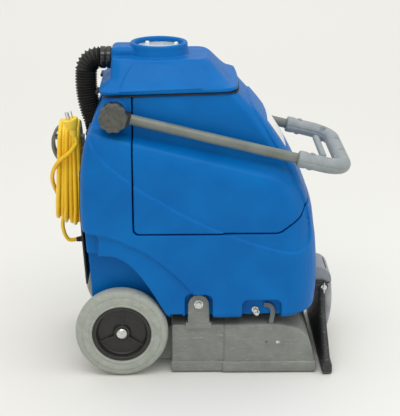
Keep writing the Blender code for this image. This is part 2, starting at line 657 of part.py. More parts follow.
def rear_panel():
    """The black panel on the column's rear with its switches, breaker and cord inlet."""
    skin = [(-0.0738, 0.200), (-0.0775, 0.262), (-0.0809, 0.323), (-0.0829, 0.380), (-0.0804, 0.456)]
    inner = [(x - GAP, z, 0) for x, z in skin]
    outer = [(x - 0.004, z, 0) for x, z in skin]
    panel = prism("rear_panel", inner + outer[::-1], -0.118, 0.118, "black")
    for k, z in enumerate((0.350, 0.390, 0.430)):
        name = ("vacuum", "pump", "brush")[k]
        centre_x = (-0.0852, -0.0858, -0.0846)[k]
        pocket = block(f"cut_{name}_switch", (centre_x - 0.02, 0.0795, z - 0.0125),
                       (centre_x + 0.0022, 0.0965, z + 0.0125), None)
        boolean(panel, pocket)
        rocker = prism(
            f"{name}_switch",
            [(-0.0005, -0.0085, 0), (-0.0050, -0.0105, 0.0005), (-0.0035, 0, 0), (-0.0062, 0.0105, 0.0005),
             (-0.0005, 0.0085, 0)],
            0.0815, 0.0945, "red" if k == 0 else "black",
        )
        rocker.location = (centre_x, 0, z)
    button = rod("breaker_button", (-0.0916, 0.088, 0.318), (-0.0841, 0.088, 0.318), 0.0055, "black", sides=16)
    boolean(panel, rod("cut_breaker", (-0.10, 0.088, 0.318), (-0.0770, 0.088, 0.318), 0.0058, None, sides=16))
    return panel, button


def cord():
    """The hook, the yellow supply cord hung on it as a hank, its strain relief and its plug."""
    hook = strap("cord_hook", [(-0.1330, 0.528), (-0.1440, 0.512), (-0.1500, 0.495), (-0.1490, 0.474),
                               (-0.1420, 0.458), (-0.1320, 0.448)], 0.004, -0.013, 0.013, "tube_grey")
    boolean(hook, block("join_hook_arm", (-0.1495, -0.013, 0.501), (-0.0806, 0.013, 0.505), None), "UNION")
    boolean(hook, block("join_hook_foot", (-0.0844, -0.013, 0.464), (-0.0808, 0.013, 0.503), None), "UNION")
    mid_y = 0.062
    rod("strain_relief", (-0.0810, mid_y, 0.240), (-0.1120, mid_y, 0.236), 0.0085, "black", end_radius=0.0062,
        sides=20)
    lead = [(-0.1124, mid_y, 0.23596), (-0.1210, mid_y, 0.2350), (-0.1310, mid_y, 0.2360), (-0.1400, 0.0620, 0.2520),
            (-0.1430, 0.063, 0.2800), (-0.1330, 0.069, 0.3120), (-0.1180, 0.073, 0.3420),
            (-0.1130, 0.070, 0.3660), (-0.1120, HANK_HALF + CORD_R + 0.001, 0.3850)]
    pipe("cord_lead", smooth_path(lead, 0.011), CORD_R, "yellow", 2)
    coil()
    start = Vector((-0.0964, -0.0650, 0.5233))
    along = Vector((-0.22, -0.05, 0.97)).normalized()
    tail = [(-0.1085, -HANK_HALF - CORD_R - 0.001, 0.4700), (-0.1000, -0.0620, 0.4850),
            start - along * 0.020, start - along * 0.010, start - along * GAP]
    pipe("cord_tail", smooth_path(tail, 0.009), CORD_R, "yellow", 2)
    end = start + along * 0.038
    plug = rod("plug", start, end, 0.0095, "yellow", end_radius=0.0170, sides=20)
    side = along.cross(Vector((0, 1, 0))).normalized()
    for k, shift in enumerate((-0.0064, 0.0064)):
        foot = end + side * shift
        boolean(plug, rod(f"join_blade_{k + 1}", foot - along * 0.004, foot + along * 0.016, 0.0026, None, sides=8),
                "UNION")
    foot = end + along.cross(side) * 0.009
    boolean(plug, rod("join_pin", foot - along * 0.004, foot + along * 0.018, 0.0024, None, sides=10), "UNION")


def coil():
    """The hank of cord as one solid: an upright loop with round ends, hung over the hook's arm."""
    def loop(half, low, high):
        corners = []
        for centre, start in ((high - half, 0), (low + half, 180)):
            for k in range(13):
                turn = math.radians(start + 15 * k)
                corners.append((half * math.cos(turn), centre + half * math.sin(turn), 0))
        return corners

    thick = HANK_HALF - HANK_HOLE
    low_x, high_x = HANK_X
    hank = prism("cord_hank", loop(HANK_HALF, HANK_LOW, HANK_TOP), low_x, high_x, "yellow")
    hole = prism("cut_hank", loop(HANK_HOLE, HANK_LOW + thick, HANK_TOP - thick + 0.002), low_x - 0.01, high_x + 0.01,
                 None)
    for thing in (hank, hole):
        thing.rotation_euler = (0, 0, -math.pi / 2)
    boolean(hank, hole)


def machinery():
    """What works inside the base: vacuum motor, pump, solution tank and filler cap."""
    vacuum = turned(
        "vacuum_motor",
        [(0, 0.125), (0.030, 0.125), (0.034, 0.120), (0.034, 0.070), (0.060, 0.066), (0.062, 0.060), (0.062, 0.004),
         (0.058, 0), (0, 0)],
        (0.012, 0, 0.165), (0, 0, 1), "black", 24,
    )
    pump = block("solution_pump", (0.112, -0.100, 0.200), (0.168, -0.046, 0.232), "black", 0.004)
    boolean(pump, rod("join_pump_head", (0.140, -0.090, 0.216), (0.140, 0.012, 0.216), 0.018, None), "UNION")
    tank = block("solution_tank", (0.110, -0.150, 0.245), (0.378, 0.150, 0.318), "dark_grey", 0.010)
    boolean(tank, block("cut_solution", (0.115, -0.145, 0.250), (0.373, 0.145, 0.313), None))
    boolean(tank, rod("cut_solution_port", (0.130, 0.110, 0.30), (0.130, 0.110, 0.33), 0.015, None))
    cap = turned(
        "solution_cap",
        [(0, 0.010), (0.021, 0.010), (0.023, 0.008), (0.023, 0), (0.0175, 0), (0.0175, -0.006), (0, -0.006)],
        (0.0, 0.070, 0.6190), (0, 0, 1), "black", 24,
    )
    return vacuum, cap


base_tank()
recovery_tank()
lid()
hose()
wheels()
handle()
deck()
vacuum_shoe()
rear_panel()
cord()
machinery()

for thing in bpy.data.objects:
    if thing.parent is None:
        thing.location.x += AXLE_X
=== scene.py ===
"""A walk-behind carpet cleaner on a pale studio floor.

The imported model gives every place. Pieces are drawn with x measured from the wheel axle, in metres,
as the model's own source does, and settle() moves each one into the model's frame.
"""

import math

import bmesh
import bpy
from mathutils import Matrix, Vector


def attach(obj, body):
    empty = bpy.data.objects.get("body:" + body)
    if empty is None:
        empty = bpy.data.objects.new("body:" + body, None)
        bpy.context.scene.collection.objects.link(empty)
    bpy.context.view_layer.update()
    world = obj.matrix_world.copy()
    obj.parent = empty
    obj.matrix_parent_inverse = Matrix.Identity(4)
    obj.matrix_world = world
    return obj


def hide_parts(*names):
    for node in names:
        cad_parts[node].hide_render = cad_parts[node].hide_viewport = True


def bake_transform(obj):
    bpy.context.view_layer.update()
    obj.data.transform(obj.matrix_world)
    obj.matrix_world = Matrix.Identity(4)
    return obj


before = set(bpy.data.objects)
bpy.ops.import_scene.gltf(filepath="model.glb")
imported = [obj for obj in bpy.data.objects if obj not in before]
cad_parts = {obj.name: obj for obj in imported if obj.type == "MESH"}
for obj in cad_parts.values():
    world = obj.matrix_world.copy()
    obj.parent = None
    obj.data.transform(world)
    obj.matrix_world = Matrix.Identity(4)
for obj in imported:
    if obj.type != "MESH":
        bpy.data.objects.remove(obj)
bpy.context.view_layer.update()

AXLE_X = -0.1712
SIDES = {"left": 1, "right": -1}

# The body's levels, low to high: rear x and z, front x and z, half-width, front corner, and how much
# of the drop from rear to front comes late
BODY_LEVELS = [
    (-0.063, 0.135, 0.410, 0.137, 0.160, 0.055, 1.0),
    (-0.070, 0.147, 0.428, 0.152, 0.172, 0.070, 1.0),
    (-0.0745, 0.220, 0.432, 0.215, 0.172, 0.070, 1.0),
    (-0.0805, 0.324, 0.427, 0.300, 0.172, 0.070, 1.0),
    (-0.0825, 0.380, 0.422, 0.335, 0.172, 0.070, 1.0),
    (-0.080, 0.457, 0.418, 0.365, 0.172, 0.070, 1.0),
    (-0.072, 0.515, 0.409, 0.392, 0.1715, 0.070, 1.3),
    (-0.063, 0.548, 0.396, 0.425, 0.163, 0.066, 1.6),
    (-0.061, 0.556, 0.378, 0.462, 0.130, 0.045, 1.6),
    (-0.055, 0.572, 0.358, 0.497, 0.122, 0.035, 1.3),
    (-0.042, 0.597, 0.307, 0.570, 0.120, 0.032, 1.0),
    (-0.033, 0.617, 0.258, 0.625, 0.117, 0.030, 1.0),
]
DOME_LEVELS = [
    (-0.0375, 0.6212, 0.2530, 0.6292, 0.1180, 0.030, 1.0),
    (-0.0365, 0.6290, 0.2410, 0.6400, 0.1175, 0.032, 1.0),
    (-0.0300, 0.6360, 0.2280, 0.6500, 0.1080, 0.032, 1.0),
    (-0.0165, 0.6500, 0.2140, 0.6640, 0.0950, 0.030, 1.0),
    (-0.0150, 0.6790, 0.1960, 0.6830, 0.0760, 0.026, 1.0),
    (-0.0120, 0.6870, 0.1890, 0.6880, 0.0700, 0.024, 1.0),
]
WALL = 0.005
SLOT_X = 0.0255
SLOT_WIDTH = 0.0060
SEAM_Z = 0.332
SEAM_GAP = 0.003
ARCH_WALL = 0.122
AXLE = (0.0, 0.1016)
WHEEL_OUT = 0.172
HANDLE_PIVOT = (-0.0075, 0.586)
HANDLE_SLOPE = math.radians(-13.9)
LID_X = 0.0855
DECK_PIVOT = (0.168, 0.166)
HOOK_PIVOT = (0.327, 0.100)
SHOE_PIVOT = (0.453, 0.160)
BRUSH_AT = (0.350, 0.049)
CORD_D = 0.0093


# ---------------------------------------------------------------- camera, floor and light

def aim(thing, target):
    """Turns a light so that it shines at a point."""
    thing.rotation_euler = (Vector(target) - thing.location).to_track_quat("-Z", "Y").to_euler()


def soft_box(name, place, target, width, height, power, tint):
    """A studio soft box: one rectangular area light."""
    bpy.ops.object.light_add(type="AREA", location=place)
    lamp = bpy.context.object
    lamp.name = name
    lamp.data.shape = "RECTANGLE"
    lamp.data.size = width
    lamp.data.size_y = height
    lamp.data.energy = power
    lamp.data.color = tint
    aim(lamp, target)


bpy.ops.object.camera_add(
    location=(-0.0414, -2.4407, 1.1976), rotation=(math.radians(70.5), 0, math.radians(-1.03)),
)
camera = bpy.context.object
camera.data.lens = 99.5
camera.data.sensor_width = 36
bpy.context.scene.camera = camera

soft_box("overhead_box", (0.2, -0.4, 4.2), (0.0, 0.0, 0.2), 7.0, 7.0, 132, (1.0, 0.998, 0.99))
soft_box("far_box", (0.0, 6.0, 4.0), (0.0, 7.0, 0.0), 9.0, 5.0, 120, (1.0, 0.998, 0.99))
soft_box("near_box", (-0.2, -1.1, 2.3), (0.0, 0.0, 0.35), 1.6, 0.5, 9, (1.0, 0.998, 0.99))
soft_box("front_box", (-0.9, -2.8, 1.3), (0.0, 0.0, 0.35), 1.6, 1.2, 5, (1.0, 0.995, 0.985))
soft_box("right_box", (2.4, -0.6, 1.3), (0.1, 0.0, 0.3), 1.2, 1.6, 6, (0.98, 0.99, 1.0))

bpy.context.scene.view_settings.view_transform = "Standard"
world = bpy.data.worlds.new("studio_air")
world.use_nodes = True
world.node_tree.nodes["Background"].inputs["Color"].default_value = (0.90, 0.905, 0.88, 1)
world.node_tree.nodes["Background"].inputs["Strength"].default_value = 0.66
bpy.context.scene.world = world


# ---------------------------------------------------------------- material helpers

def linear(shade):
    """An sRGB hex colour as linear RGBA."""
    parts = [int(shade[i:i + 2], 16) / 255 for i in (1, 3, 5)]
    return (*(c / 12.92 if c <= 0.04045 else ((c + 0.055) / 1.055) ** 2.4 for c in parts), 1.0)


def node(tree, kind, inputs=(), stops=(), **settings):
    """Adds a node with its settings and any (position, hex colour) stops of its colour ramp.

    An input given as a socket is linked, any other is set.
    """
    made = tree.nodes.new(kind)
    for key, value in settings.items():
        setattr(made, key, value)
    for key, value in dict(inputs).items():
        if isinstance(value, bpy.types.NodeSocket):
            tree.links.new(value, made.inputs[key])
        else:
            made.inputs[key].default_value = value
    for k, (at, shade) in enumerate(stops):
        stop = made.color_ramp.elements[k] if k < 2 else made.color_ramp.elements.new(at)
        stop.position = at
        stop.color = linear(shade)
    return made


def finish_of(name, **sockets):
    """A new material, its tree, its shader with even values set, and its Object coordinates."""
    made = bpy.data.materials.new(name)
    made.use_nodes = True
    tree = made.node_tree
    shader = tree.nodes["Principled BSDF"]
    for key, value in sockets.items():
        shader.inputs[key.replace("_", " ").title().replace("Ior", "IOR")].default_value = value
    place = tree.nodes.new("ShaderNodeTexCoord").outputs["Object"]
    return made, tree, shader, place


# ---------------------------------------------------------------- modelling helpers

def pick(piece):
    """Leaves one piece selected and active."""
    bpy.ops.object.select_all(action="DESELECT")
    piece.select_set(True)
    bpy.context.view_layer.objects.active = piece


def apply(piece, kind, **settings):
    """Adds a modifier with its settings and applies it."""
    pick(piece)
    step = piece.modifiers.new(kind.lower(), kind)
    for key, value in settings.items():
        setattr(step, key, value)
    bpy.ops.object.modifier_apply(modifier=step.name)
    return piece


def carve(piece, cutter, how="DIFFERENCE"):
    """Cuts, joins or intersects a piece with another, which is used up."""
    apply(piece, "BOOLEAN", operation=how, object=cutter, solver="MANIFOLD")
    bpy.data.objects.remove(cutter)
    return piece


def soften(piece, width, segments=2, angle=35):
    """Rounds a piece's sharp edges and shades its faces smooth up to them."""
    apply(piece, "BEVEL", width=width, segments=segments, limit_method="ANGLE",
          angle_limit=math.radians(angle), harden_normals=False, miter_outer="MITER_ARC")
    pick(piece)
    bpy.ops.object.shade_smooth_by_angle(angle=math.radians(38))
    return piece


def move(piece, matrix):
    """Moves a piece's mesh, not its object."""
    piece.data.transform(matrix)
    if matrix.determinant() < 0:
        piece.data.flip_normals()
    return piece


def copy_of(piece, name, matrix):
    """A copy with its own mesh, moved or mirrored."""
    twin = bpy.data.objects.new(name, piece.data.copy())
    bpy.context.scene.collection.objects.link(twin)
    return move(twin, matrix)


MIRROR = Matrix.Scale(-1, 4, (0, 1, 0))


def joined(name, *parts):
    """Several parts joined into one piece."""
    pick(parts[0])
    for part in parts[1:]:
        part.select_set(True)
    bpy.ops.object.join()
    parts[0].name = name
    return parts[0]


def loop_of(name, points):
    """A circle bent to a closed outline of points."""
    bpy.ops.mesh.primitive_circle_add(vertices=len(points), radius=0.1)
    piece = bpy.context.object
    piece.name = name
    for vert, point in zip(piece.data.vertices, points):
        vert.co = point
    return piece


def plate(name, outline, low, high):
    """A plate of an (x, z) outline between two y values: filled, then extruded."""
    piece = loop_of(name, [(x, low, z) for x, z in outline])
    bpy.ops.object.mode_set(mode="EDIT")
    bpy.ops.mesh.select_all(action="SELECT")
    bpy.ops.mesh.edge_face_add()
    bpy.ops.mesh.extrude_region_move(TRANSFORM_OT_translate={"value": (0, high - low, 0)})
    bpy.ops.mesh.select_all(action="SELECT")
    bpy.ops.mesh.normals_make_consistent(inside=False)
    bpy.ops.object.mode_set(mode="OBJECT")
    return piece


def stacked(name, rings):
    """A closed skin through rings of points: a filled circle extruded ring by ring."""
    piece = loop_of(name, rings[0])
    bpy.ops.object.mode_set(mode="EDIT")
    bpy.ops.mesh.select_mode(type="FACE")
    bpy.ops.mesh.select_all(action="SELECT")
    bpy.ops.mesh.edge_face_add()
    for low, high in zip(rings, rings[1:]):
        bpy.ops.mesh.extrude_region_move()
        shape = bmesh.from_edit_mesh(piece.data)
        for vert in [v for v in shape.verts if v.select]:
            nearest = min(range(len(low)), key=lambda i: (Vector(low[i]) - vert.co).length_squared)
            vert.co = high[nearest]
        bmesh.update_edit_mesh(piece.data)
    bpy.ops.mesh.select_all(action="SELECT")
    bpy.ops.mesh.normals_make_consistent(inside=False)
    bpy.ops.object.mode_set(mode="OBJECT")
    return piece


def lathed(name, profile, centre, axis, steps=48):
    """A closed (radius, height) profile spun about an axis through centre."""
    piece = loop_of(name, [(r, 0, h) for r, h in profile])
    bpy.ops.object.mode_set(mode="EDIT")
    bpy.ops.mesh.select_all(action="SELECT")
    bpy.ops.mesh.spin(steps=steps, angle=2 * math.pi, center=(0, 0, 0), axis=(0, 0, 1), use_auto_merge=True)
    bpy.ops.mesh.select_all(action="SELECT")
    bpy.ops.mesh.remove_doubles(threshold=0.000005)
    bpy.ops.mesh.dissolve_degenerate(threshold=0.000005)
    bpy.ops.mesh.normals_make_consistent(inside=False)
    bpy.ops.object.mode_set(mode="OBJECT")
    turn = Vector((0, 0, 1)).rotation_difference(Vector(axis)).to_matrix().to_4x4()
    return move(piece, Matrix.Translation(centre) @ turn)


def block(name, low, high, round_by=0.0, segments=2):
    """A box between two corners, its edges rounded."""
    bpy.ops.mesh.primitive_cube_add(size=1)
    piece = bpy.context.object
    piece.name = name
    size = Vector(high) - Vector(low)
    move(piece, Matrix.Translation((Vector(low) + Vector(high)) / 2) @ Matrix.Diagonal((*size, 1)))
    return soften(piece, round_by, segments) if round_by else piece


def bar(name, start, end, radius, end_radius=None, sides=32, round_by=0.0):
    """A round bar or taper between two points, its rims rounded."""
    start, end = Vector(start), Vector(end)
    bpy.ops.mesh.primitive_cone_add(
        vertices=sides, radius1=radius, radius2=radius if end_radius is None else end_radius,
        depth=(end - start).length,
    )
    piece = bpy.context.object
    piece.name = name
    turn = Vector((0, 0, 1)).rotation_difference(end - start).to_matrix().to_4x4()
    move(piece, Matrix.Translation((start + end) / 2) @ turn)
    return soften(piece, round_by) if round_by else piece


def curve_through(points, step):
    """Evenly spaced points on a smooth curve through points of any dimension."""
    points = [Vector(p) for p in points]
    ends = [2 * points[0] - points[1], *points, 2 * points[-1] - points[-2]]
    fine = []
    for a, b, c, d in zip(ends, ends[1:], ends[2:], ends[3:]):
        for k in range(16):
            t = k / 16
            fine.append(0.5 * (2 * b + (c - a) * t + (2 * a - 5 * b + 4 * c - d) * t * t
                               + (3 * b - a - 3 * c + d) * t ** 3))
    fine.append(points[-1])
    lengths = [0.0]
    for a, b in zip(fine, fine[1:]):
        lengths.append(lengths[-1] + (b - a).length)
    count = max(2, round(lengths[-1] / step))
    even, k = [], 0
    for i in range(count + 1):
        want = lengths[-1] * i / count
        while k < len(fine) - 2 and lengths[k + 1] < want:
            k += 1
        share = (want - lengths[k]) / max(lengths[k + 1] - lengths[k], 1e-9)
        even.append(fine[k].lerp(fine[k + 1], min(max(share, 0.0), 1.0)))
    return even


def arc(cx, cz, radius, start, end, count):
    """Points on an arc, with its angles in degrees."""
    turns = [math.radians(start + (end - start) * k / count) for k in range(count + 1)]
    return [(cx + radius * math.cos(t), cz + radius * math.sin(t)) for t in turns]


def tube(name, route, radii, sides=24):
    """A round skin along a route with a radius at each point; its ends are closed."""
    route = [Vector(p) for p in route]
    side = Vector((0, 1, 0))
    rings = []
    for k, here in enumerate(route):
        along = (route[min(k + 1, len(route) - 1)] - route[max(k - 1, 0)]).normalized()
        side = (side - along * side.dot(along)).normalized()
        other = along.cross(side)
        turns = [2 * math.pi * i / sides for i in range(sides)]
        rings.append([here + (side * math.cos(t) + other * math.sin(t)) * radii[k] for t in turns])
    return stacked(name, rings)


def spread(levels, between):
    """Levels with smooth ones in between, none of which overshoots its neighbours."""
    heights = [(level[1] + level[3]) / 2 for level in levels]
    slopes = []
    for column in zip(*levels):
        rise = [(column[i + 1] - column[i]) / (heights[i + 1] - heights[i]) for i in range(len(levels) - 1)]
        inner = [2 * a * b / (a + b) if a * b > 0 else 0.0 for a, b in zip(rise, rise[1:])]
        slopes.append([rise[0], *inner, rise[-1]])
    fine = []
    for i in range(len(levels) - 1):
        span = heights[i + 1] - heights[i]
        for k in range(between):
            t = k / between
            ease = (2 * t ** 3 - 3 * t ** 2 + 1, t ** 3 - 2 * t ** 2 + t, 3 * t ** 2 - 2 * t ** 3,
                    t ** 3 - t ** 2)
            fine.append(tuple(
                ease[0] * a + ease[1] * span * slope[i] + ease[2] * b + ease[3] * span * slope[i + 1]
                for a, b, slope in zip(levels[i], levels[i + 1], slopes)
            ))
    return fine + [levels[-1]]


def ring(level, inset=0.0, lift=0.0, steps=9):
    """The points round one level of the body: a rounded box with a bowed front."""
    rear, rear_z, front, front_z, half, corner, late = level
    rear, front, half = rear + inset, front - inset, half - inset
    corner = max(corner - inset, 0.008)
    rear_corner = max(0.028 - inset, 0.008)
    flat = []
    for x, y, r, start in ((front, half, corner, 0), (rear, half, rear_corner, 90),
                           (rear, -half, rear_corner, 180), (front, -half, corner, 270)):
        cx = x - r if x == front else x + r
        cy = y - r if y > 0 else y + r
        flat += arc(cx, cy, r, start, start + 90, steps)
    low_y, high_y = -half + corner, half - corner
    flat += [(front, low_y + (high_y - low_y) * k / 6) for k in range(1, 6)]
    points = []
    for x, y in flat:
        share = min(max((x - rear) / (front - rear), 0.0), 1.0)
        bow = 0.012 * (y / 0.172) ** 2 * share ** 6
        points.append((x - bow, y, rear_z + (front_z - rear_z) * share ** late + lift))
    return points


def moulded_skin(piece, grain, passes, triangles):
    """Melts hard edges as a hollow moulding's are: an even skin, smoothed, then thinned where flat."""
    apply(piece, "REMESH", mode="VOXEL", voxel_size=grain * 1,
          use_smooth_shade=True)
    apply(piece, "SMOOTH", factor=0.5, iterations=passes)
    piece.data.calc_loop_triangles()
    count = len(piece.data.loop_triangles)
    if count > triangles:
        apply(piece, "DECIMATE", ratio=triangles / count)
    pick(piece)
    bpy.ops.object.shade_smooth()
    return piece


def settle(piece, body, material, *nodes, slot=None):
    """Moves a finished piece into the model's frame, paints it, and ties it to its body if it has just one."""
    if piece.type == "MESH":
        move(piece, Matrix.Translation((AXLE_X, 0, 0)))
    piece.data.materials.clear()
    piece.data.materials.append(material)
    if body:
        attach(piece, body)
    if nodes:
        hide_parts(*nodes)
    return piece


# ---------------------------------------------------------------- the supply cord

def hank_route():
    """The cord's turns over the hook: six columns side by side, each wound inward, then outward."""
    places = []
    turns_in_column = 3
    for column in range(6):
        top_x = -0.0925 - 0.0074 * column
        low_x = -0.0925 - 0.0102 * column
        low_z = 0.2960 + (0.0, 0.004, 0.001, 0.010, 0.016, 0.020)[column]
        for step in range(turns_in_column * 24):
            wound = (step + 0.5) / (turns_in_column * 24)
            layer = 1 - wound if column % 2 == 0 else wound
            shift = 0.0 if column % 2 == 0 else 0.5
            out = 2 * layer + shift
            half = 0.0270 + 0.0089 * out
            top = 0.5105 + 0.0133 * out
            low = low_z + 0.0225 - 0.0089 * out
            upper = top - 0.036 - 0.006 * out
            lower = low + half * 0.96
            around = step % 24
            if around < 10:
                turn = math.radians(180 * around / 10)
                y, z = half * math.cos(turn), upper + (top - upper) * math.sin(turn)
            elif around < 12:
                y, z = -half * 0.985, upper + (lower - upper) * (around - 9) / 3
            elif around < 22:
                turn = math.radians(180 * (around - 12) / 10)
                y, z = -half * math.cos(turn) * 0.96, lower - (lower - low) * math.sin(turn)
            else:
                y, z = half * 0.985, lower + (upper - lower) * (around - 21) / 3
            share = min(max((0.53 - z) / 0.22, 0.0), 1.0)
            sway = 0.0016 * math.sin(1.7 * column + 2.3 * (step // 24) + 3 * share)
            crossing = 0.0
            if step >= turns_in_column * 24 - 12 and column < 5:
                crossing = (step - turns_in_column * 24 + 12) / 12
            here = top_x + (low_x - top_x) * share
            there = here - 0.0074 - 0.0028 * share
            places.append((here + (there - here) * crossing + sway * share, y, z))
    return places


LEAD = [(-0.1124, 0.062, 0.23596), (-0.1210, 0.062, 0.2350), (-0.1310, 0.062, 0.2360),
        (-0.1400, 0.0620, 0.2520),
        (-0.1430, 0.063, 0.2800), (-0.1330, 0.069, 0.3120), (-0.1180, 0.073, 0.3420),
        (-0.1130, 0.070, 0.3660), (-0.1110, 0.0610, 0.3950), (-0.1030, 0.0590, 0.4300),
        (-0.0950, 0.0570, 0.4620),
        (-0.0923, 0.0500, 0.4930)]
PLUG_AT = Vector((-0.0964, -0.0650, 0.5233))
PLUG_ALONG = Vector((-0.22, -0.05, 0.97)).normalized()
TAIL = [(-0.1465, 0.0400, 0.3450), (-0.1525, 0.0220, 0.3750), (-0.1540, -0.0050, 0.4000),
        (-0.1510, -0.0300, 0.4250),
        (-0.1420, -0.0480, 0.4480), (-0.1270, -0.0580, 0.4680), (-0.1080, -0.0630, 0.4840),
        PLUG_AT - PLUG_ALONG * 0.018, PLUG_AT - PLUG_ALONG * 0.009, PLUG_AT - PLUG_ALONG * 0.0003]


def supply_cord():
    """The whole cord as one curve: up from its strain relief, round the hook, and out to its plug."""
    route = curve_through([*LEAD, *hank_route()[2:-5], *TAIL], 0.006)
    data = bpy.data.curves.new("supply_cord", "CURVE")
    data.dimensions = "3D"
    data.bevel_depth = CORD_D / 2
    data.bevel_resolution = 4
    spline = data.splines.new("POLY")
    spline.points.add(len(route) - 1)
    for point, place in zip(spline.points, route):
        point.co = (place.x + AXLE_X, place.y, place.z, 1)
    spline.use_smooth = True
    piece = bpy.data.objects.new("supply_cord", data)
    bpy.context.scene.collection.objects.link(piece)
    return piece, sum((b - a).length for a, b in zip(route, route[1:]))


cord, cord_length = supply_cord()

# Hard rubber boot where the cord leaves the machine: ribs over a taper
relief_profile = [(0.0, 0.0), (0.0115, 0.0), (0.0115, 0.003), (0.0085, 0.0042)]
for k in range(5):
    foot = 0.005 + 0.0048 * k
    r = 0.0085 - 0.0005 * k
    relief_profile += [(r, foot), (r, foot + 0.0022), (r - 0.0012, foot + 0.0028),
                       (r - 0.0012, foot + 0.0042)]
relief_profile += [(0.0059, 0.0296), (0.0057, 0.0310), (0.0, 0.0310)]
RELIEF = (Vector((-0.0810, 0.062, 0.240)), Vector((-0.1120, 0.062, 0.236)))
relief = lathed("strain_relief_boot", relief_profile, RELIEF[0], RELIEF[1] - RELIEF[0], 28)
soften(relief, 0.0004)


def cord_plug():
    """The moulded plug: a waisted grip, a flat face, two flat blades and a round pin."""
    profile = [(0.0, 0.0), (0.0060, 0.0), (0.0075, 0.004), (0.0085, 0.010), (0.0090, 0.014),
               (0.0120, 0.018),
               (0.0150, 0.026), (0.0168, 0.034), (0.0168, 0.0372), (0.0160, 0.0380), (0.0, 0.0380)]
    body = lathed("plug_body", profile, PLUG_AT, PLUG_ALONG, 32)
    side = PLUG_ALONG.cross(Vector((0, 1, 0))).normalized()
    other = PLUG_ALONG.cross(side)
    frame_of_plug = Matrix.Translation(PLUG_AT) @ Matrix((side, other, PLUG_ALONG)).transposed().to_4x4()
    metal = []
    for k, shift in enumerate((-0.0064, 0.0064)):
        blade = block(f"blade_{k}", (shift - 0.0008, -0.0032, 0.0375), (shift + 0.0008, 0.0032, 0.0535),
                      0.0005)
        metal.append(move(blade, frame_of_plug))
    pin = bar("earth_pin", (0, 0.009, 0.0375), (0, 0.009, 0.0555), 0.0023, sides=16, round_by=0.0006)
    metal.append(move(pin, frame_of_plug))
    return body, joined("plug_blades", *metal)


plug, blades = cord_plug()


# ---------------------------------------------------------------- the blue mouldings

BODY_FINE = spread(BODY_LEVELS, 5)


def envelope(name, inset=0.0, open_ends=False):
    """The whole body's skin, drawn in by an inset; open ends run past the top and bottom, and it is
    lowered a little so that its ledge keeps a wall."""
    rings = [ring(level, inset, -0.007 if open_ends else 0.0) for level in BODY_FINE]
    if open_ends:
        rings = [ring(BODY_LEVELS[0], inset, -0.05), *rings, ring(BODY_LEVELS[-1], inset, 0.05)]
    return stacked(name, rings)


def tank_place(name, grow):
    """The side outline that the recovery tank fills, grown all round."""
    rear = SLOT_X + SLOT_WIDTH - grow
    low = SEAM_Z + SEAM_GAP - grow
    outline = [
        *arc(rear + 0.012, low + 0.012, 0.012, 180, 270, 6),
        *arc(0.330 + grow / 2, low + 0.028, 0.028, 270, 318, 5),
        (0.383 + grow / 2, 0.366 - grow), (0.398, 0.390 - grow), (0.430, 0.402 - grow),
        (0.50, 0.410 - grow), (0.50, 0.80), (rear, 0.80),
    ]
    return plate(name, outline, -0.2, 0.2)


# Curves drawn on both sides of the body, as (x, z)
UPPER_CREASE = [(-0.100, 0.665), (-0.082, 0.600), (-0.075, 0.562), (-0.061, 0.539), (-0.045, 0.513),
                (-0.025, 0.489), (-0.001, 0.468),
                (0.023, 0.450), (0.031, 0.441), (0.060, 0.421), (0.087, 0.406), (0.118, 0.386),
                (0.152, 0.367),
                (0.192, 0.347), (0.234, 0.330), (0.277, 0.313), (0.320, 0.299), (0.362, 0.289),
                (0.388, 0.290),
                (0.403, 0.298), (0.409, 0.324), (0.402, 0.371), (0.387, 0.415), (0.356, 0.473)]
LOWER_SWOOSH = [(-0.110, 0.341), (-0.061, 0.335), (-0.015, 0.324), (0.022, 0.308), (0.060, 0.287),
                (0.113, 0.243),
                (0.142, 0.212), (0.166, 0.184), (0.186, 0.160), (0.199, 0.141), (0.206, 0.118)]
REAR_STRIP = [(-0.12, 0.331), (-0.050, 0.331), (-0.044, 0.322), (-0.046, 0.290), (-0.051, 0.199),
              (-0.056, 0.188),
              (-0.12, 0.188)]
ARCH_EDGE = [(-0.110, 0.287), (-0.075, 0.285), (-0.042, 0.283), (-0.015, 0.281), (0.003, 0.273),
             (0.0215, 0.2595),
             (0.038, 0.241), (0.053, 0.220), (0.068, 0.197), (0.080, 0.175), (0.095, 0.149), (0.101, 0.137),
             (0.106, 0.100)]


def side_step(name, line, ends, depth):
    """A cutter that sets the skin in by depth, past a line drawn on both sides."""
    outline = [*curve_through(line, 0.008), *[Vector(p) for p in ends]]
    return carve(plate(name, outline, -0.21, 0.21), envelope(name + "_core", depth))


def side_cut(piece, line, depth_y, ends=()):
    """Cuts an outline into both sides of a piece, down to |y| = depth_y."""
    outline = [*curve_through(line, 0.008), *[Vector(p) for p in ends]] if ends else line
    for side in (1, -1):
        carve(piece, plate("side_cutter", outline, *sorted((side * depth_y, side * 0.25))))


def rounded_notch(low_x, high_x, top, corner):
    """A notch's outline, open below, with round upper corners."""
    return [(low_x, 0.09), *reversed(arc(low_x + corner, top - corner, corner, 90, 180, 5)),
            *reversed(arc(high_x - corner, top - corner, corner, 0, 90, 5)), (high_x, 0.09)]


def sculpt_sides(piece):
    """The steps that both the base and the tank carry."""
    carve(piece, side_step("upper_step", UPPER_CREASE, [(0.280, 0.600), (0.250, 0.665)], 0.0045))
    carve(piece, side_step("lower_step", LOWER_SWOOSH, [(-0.110, 0.118)], 0.0070))
    return piece


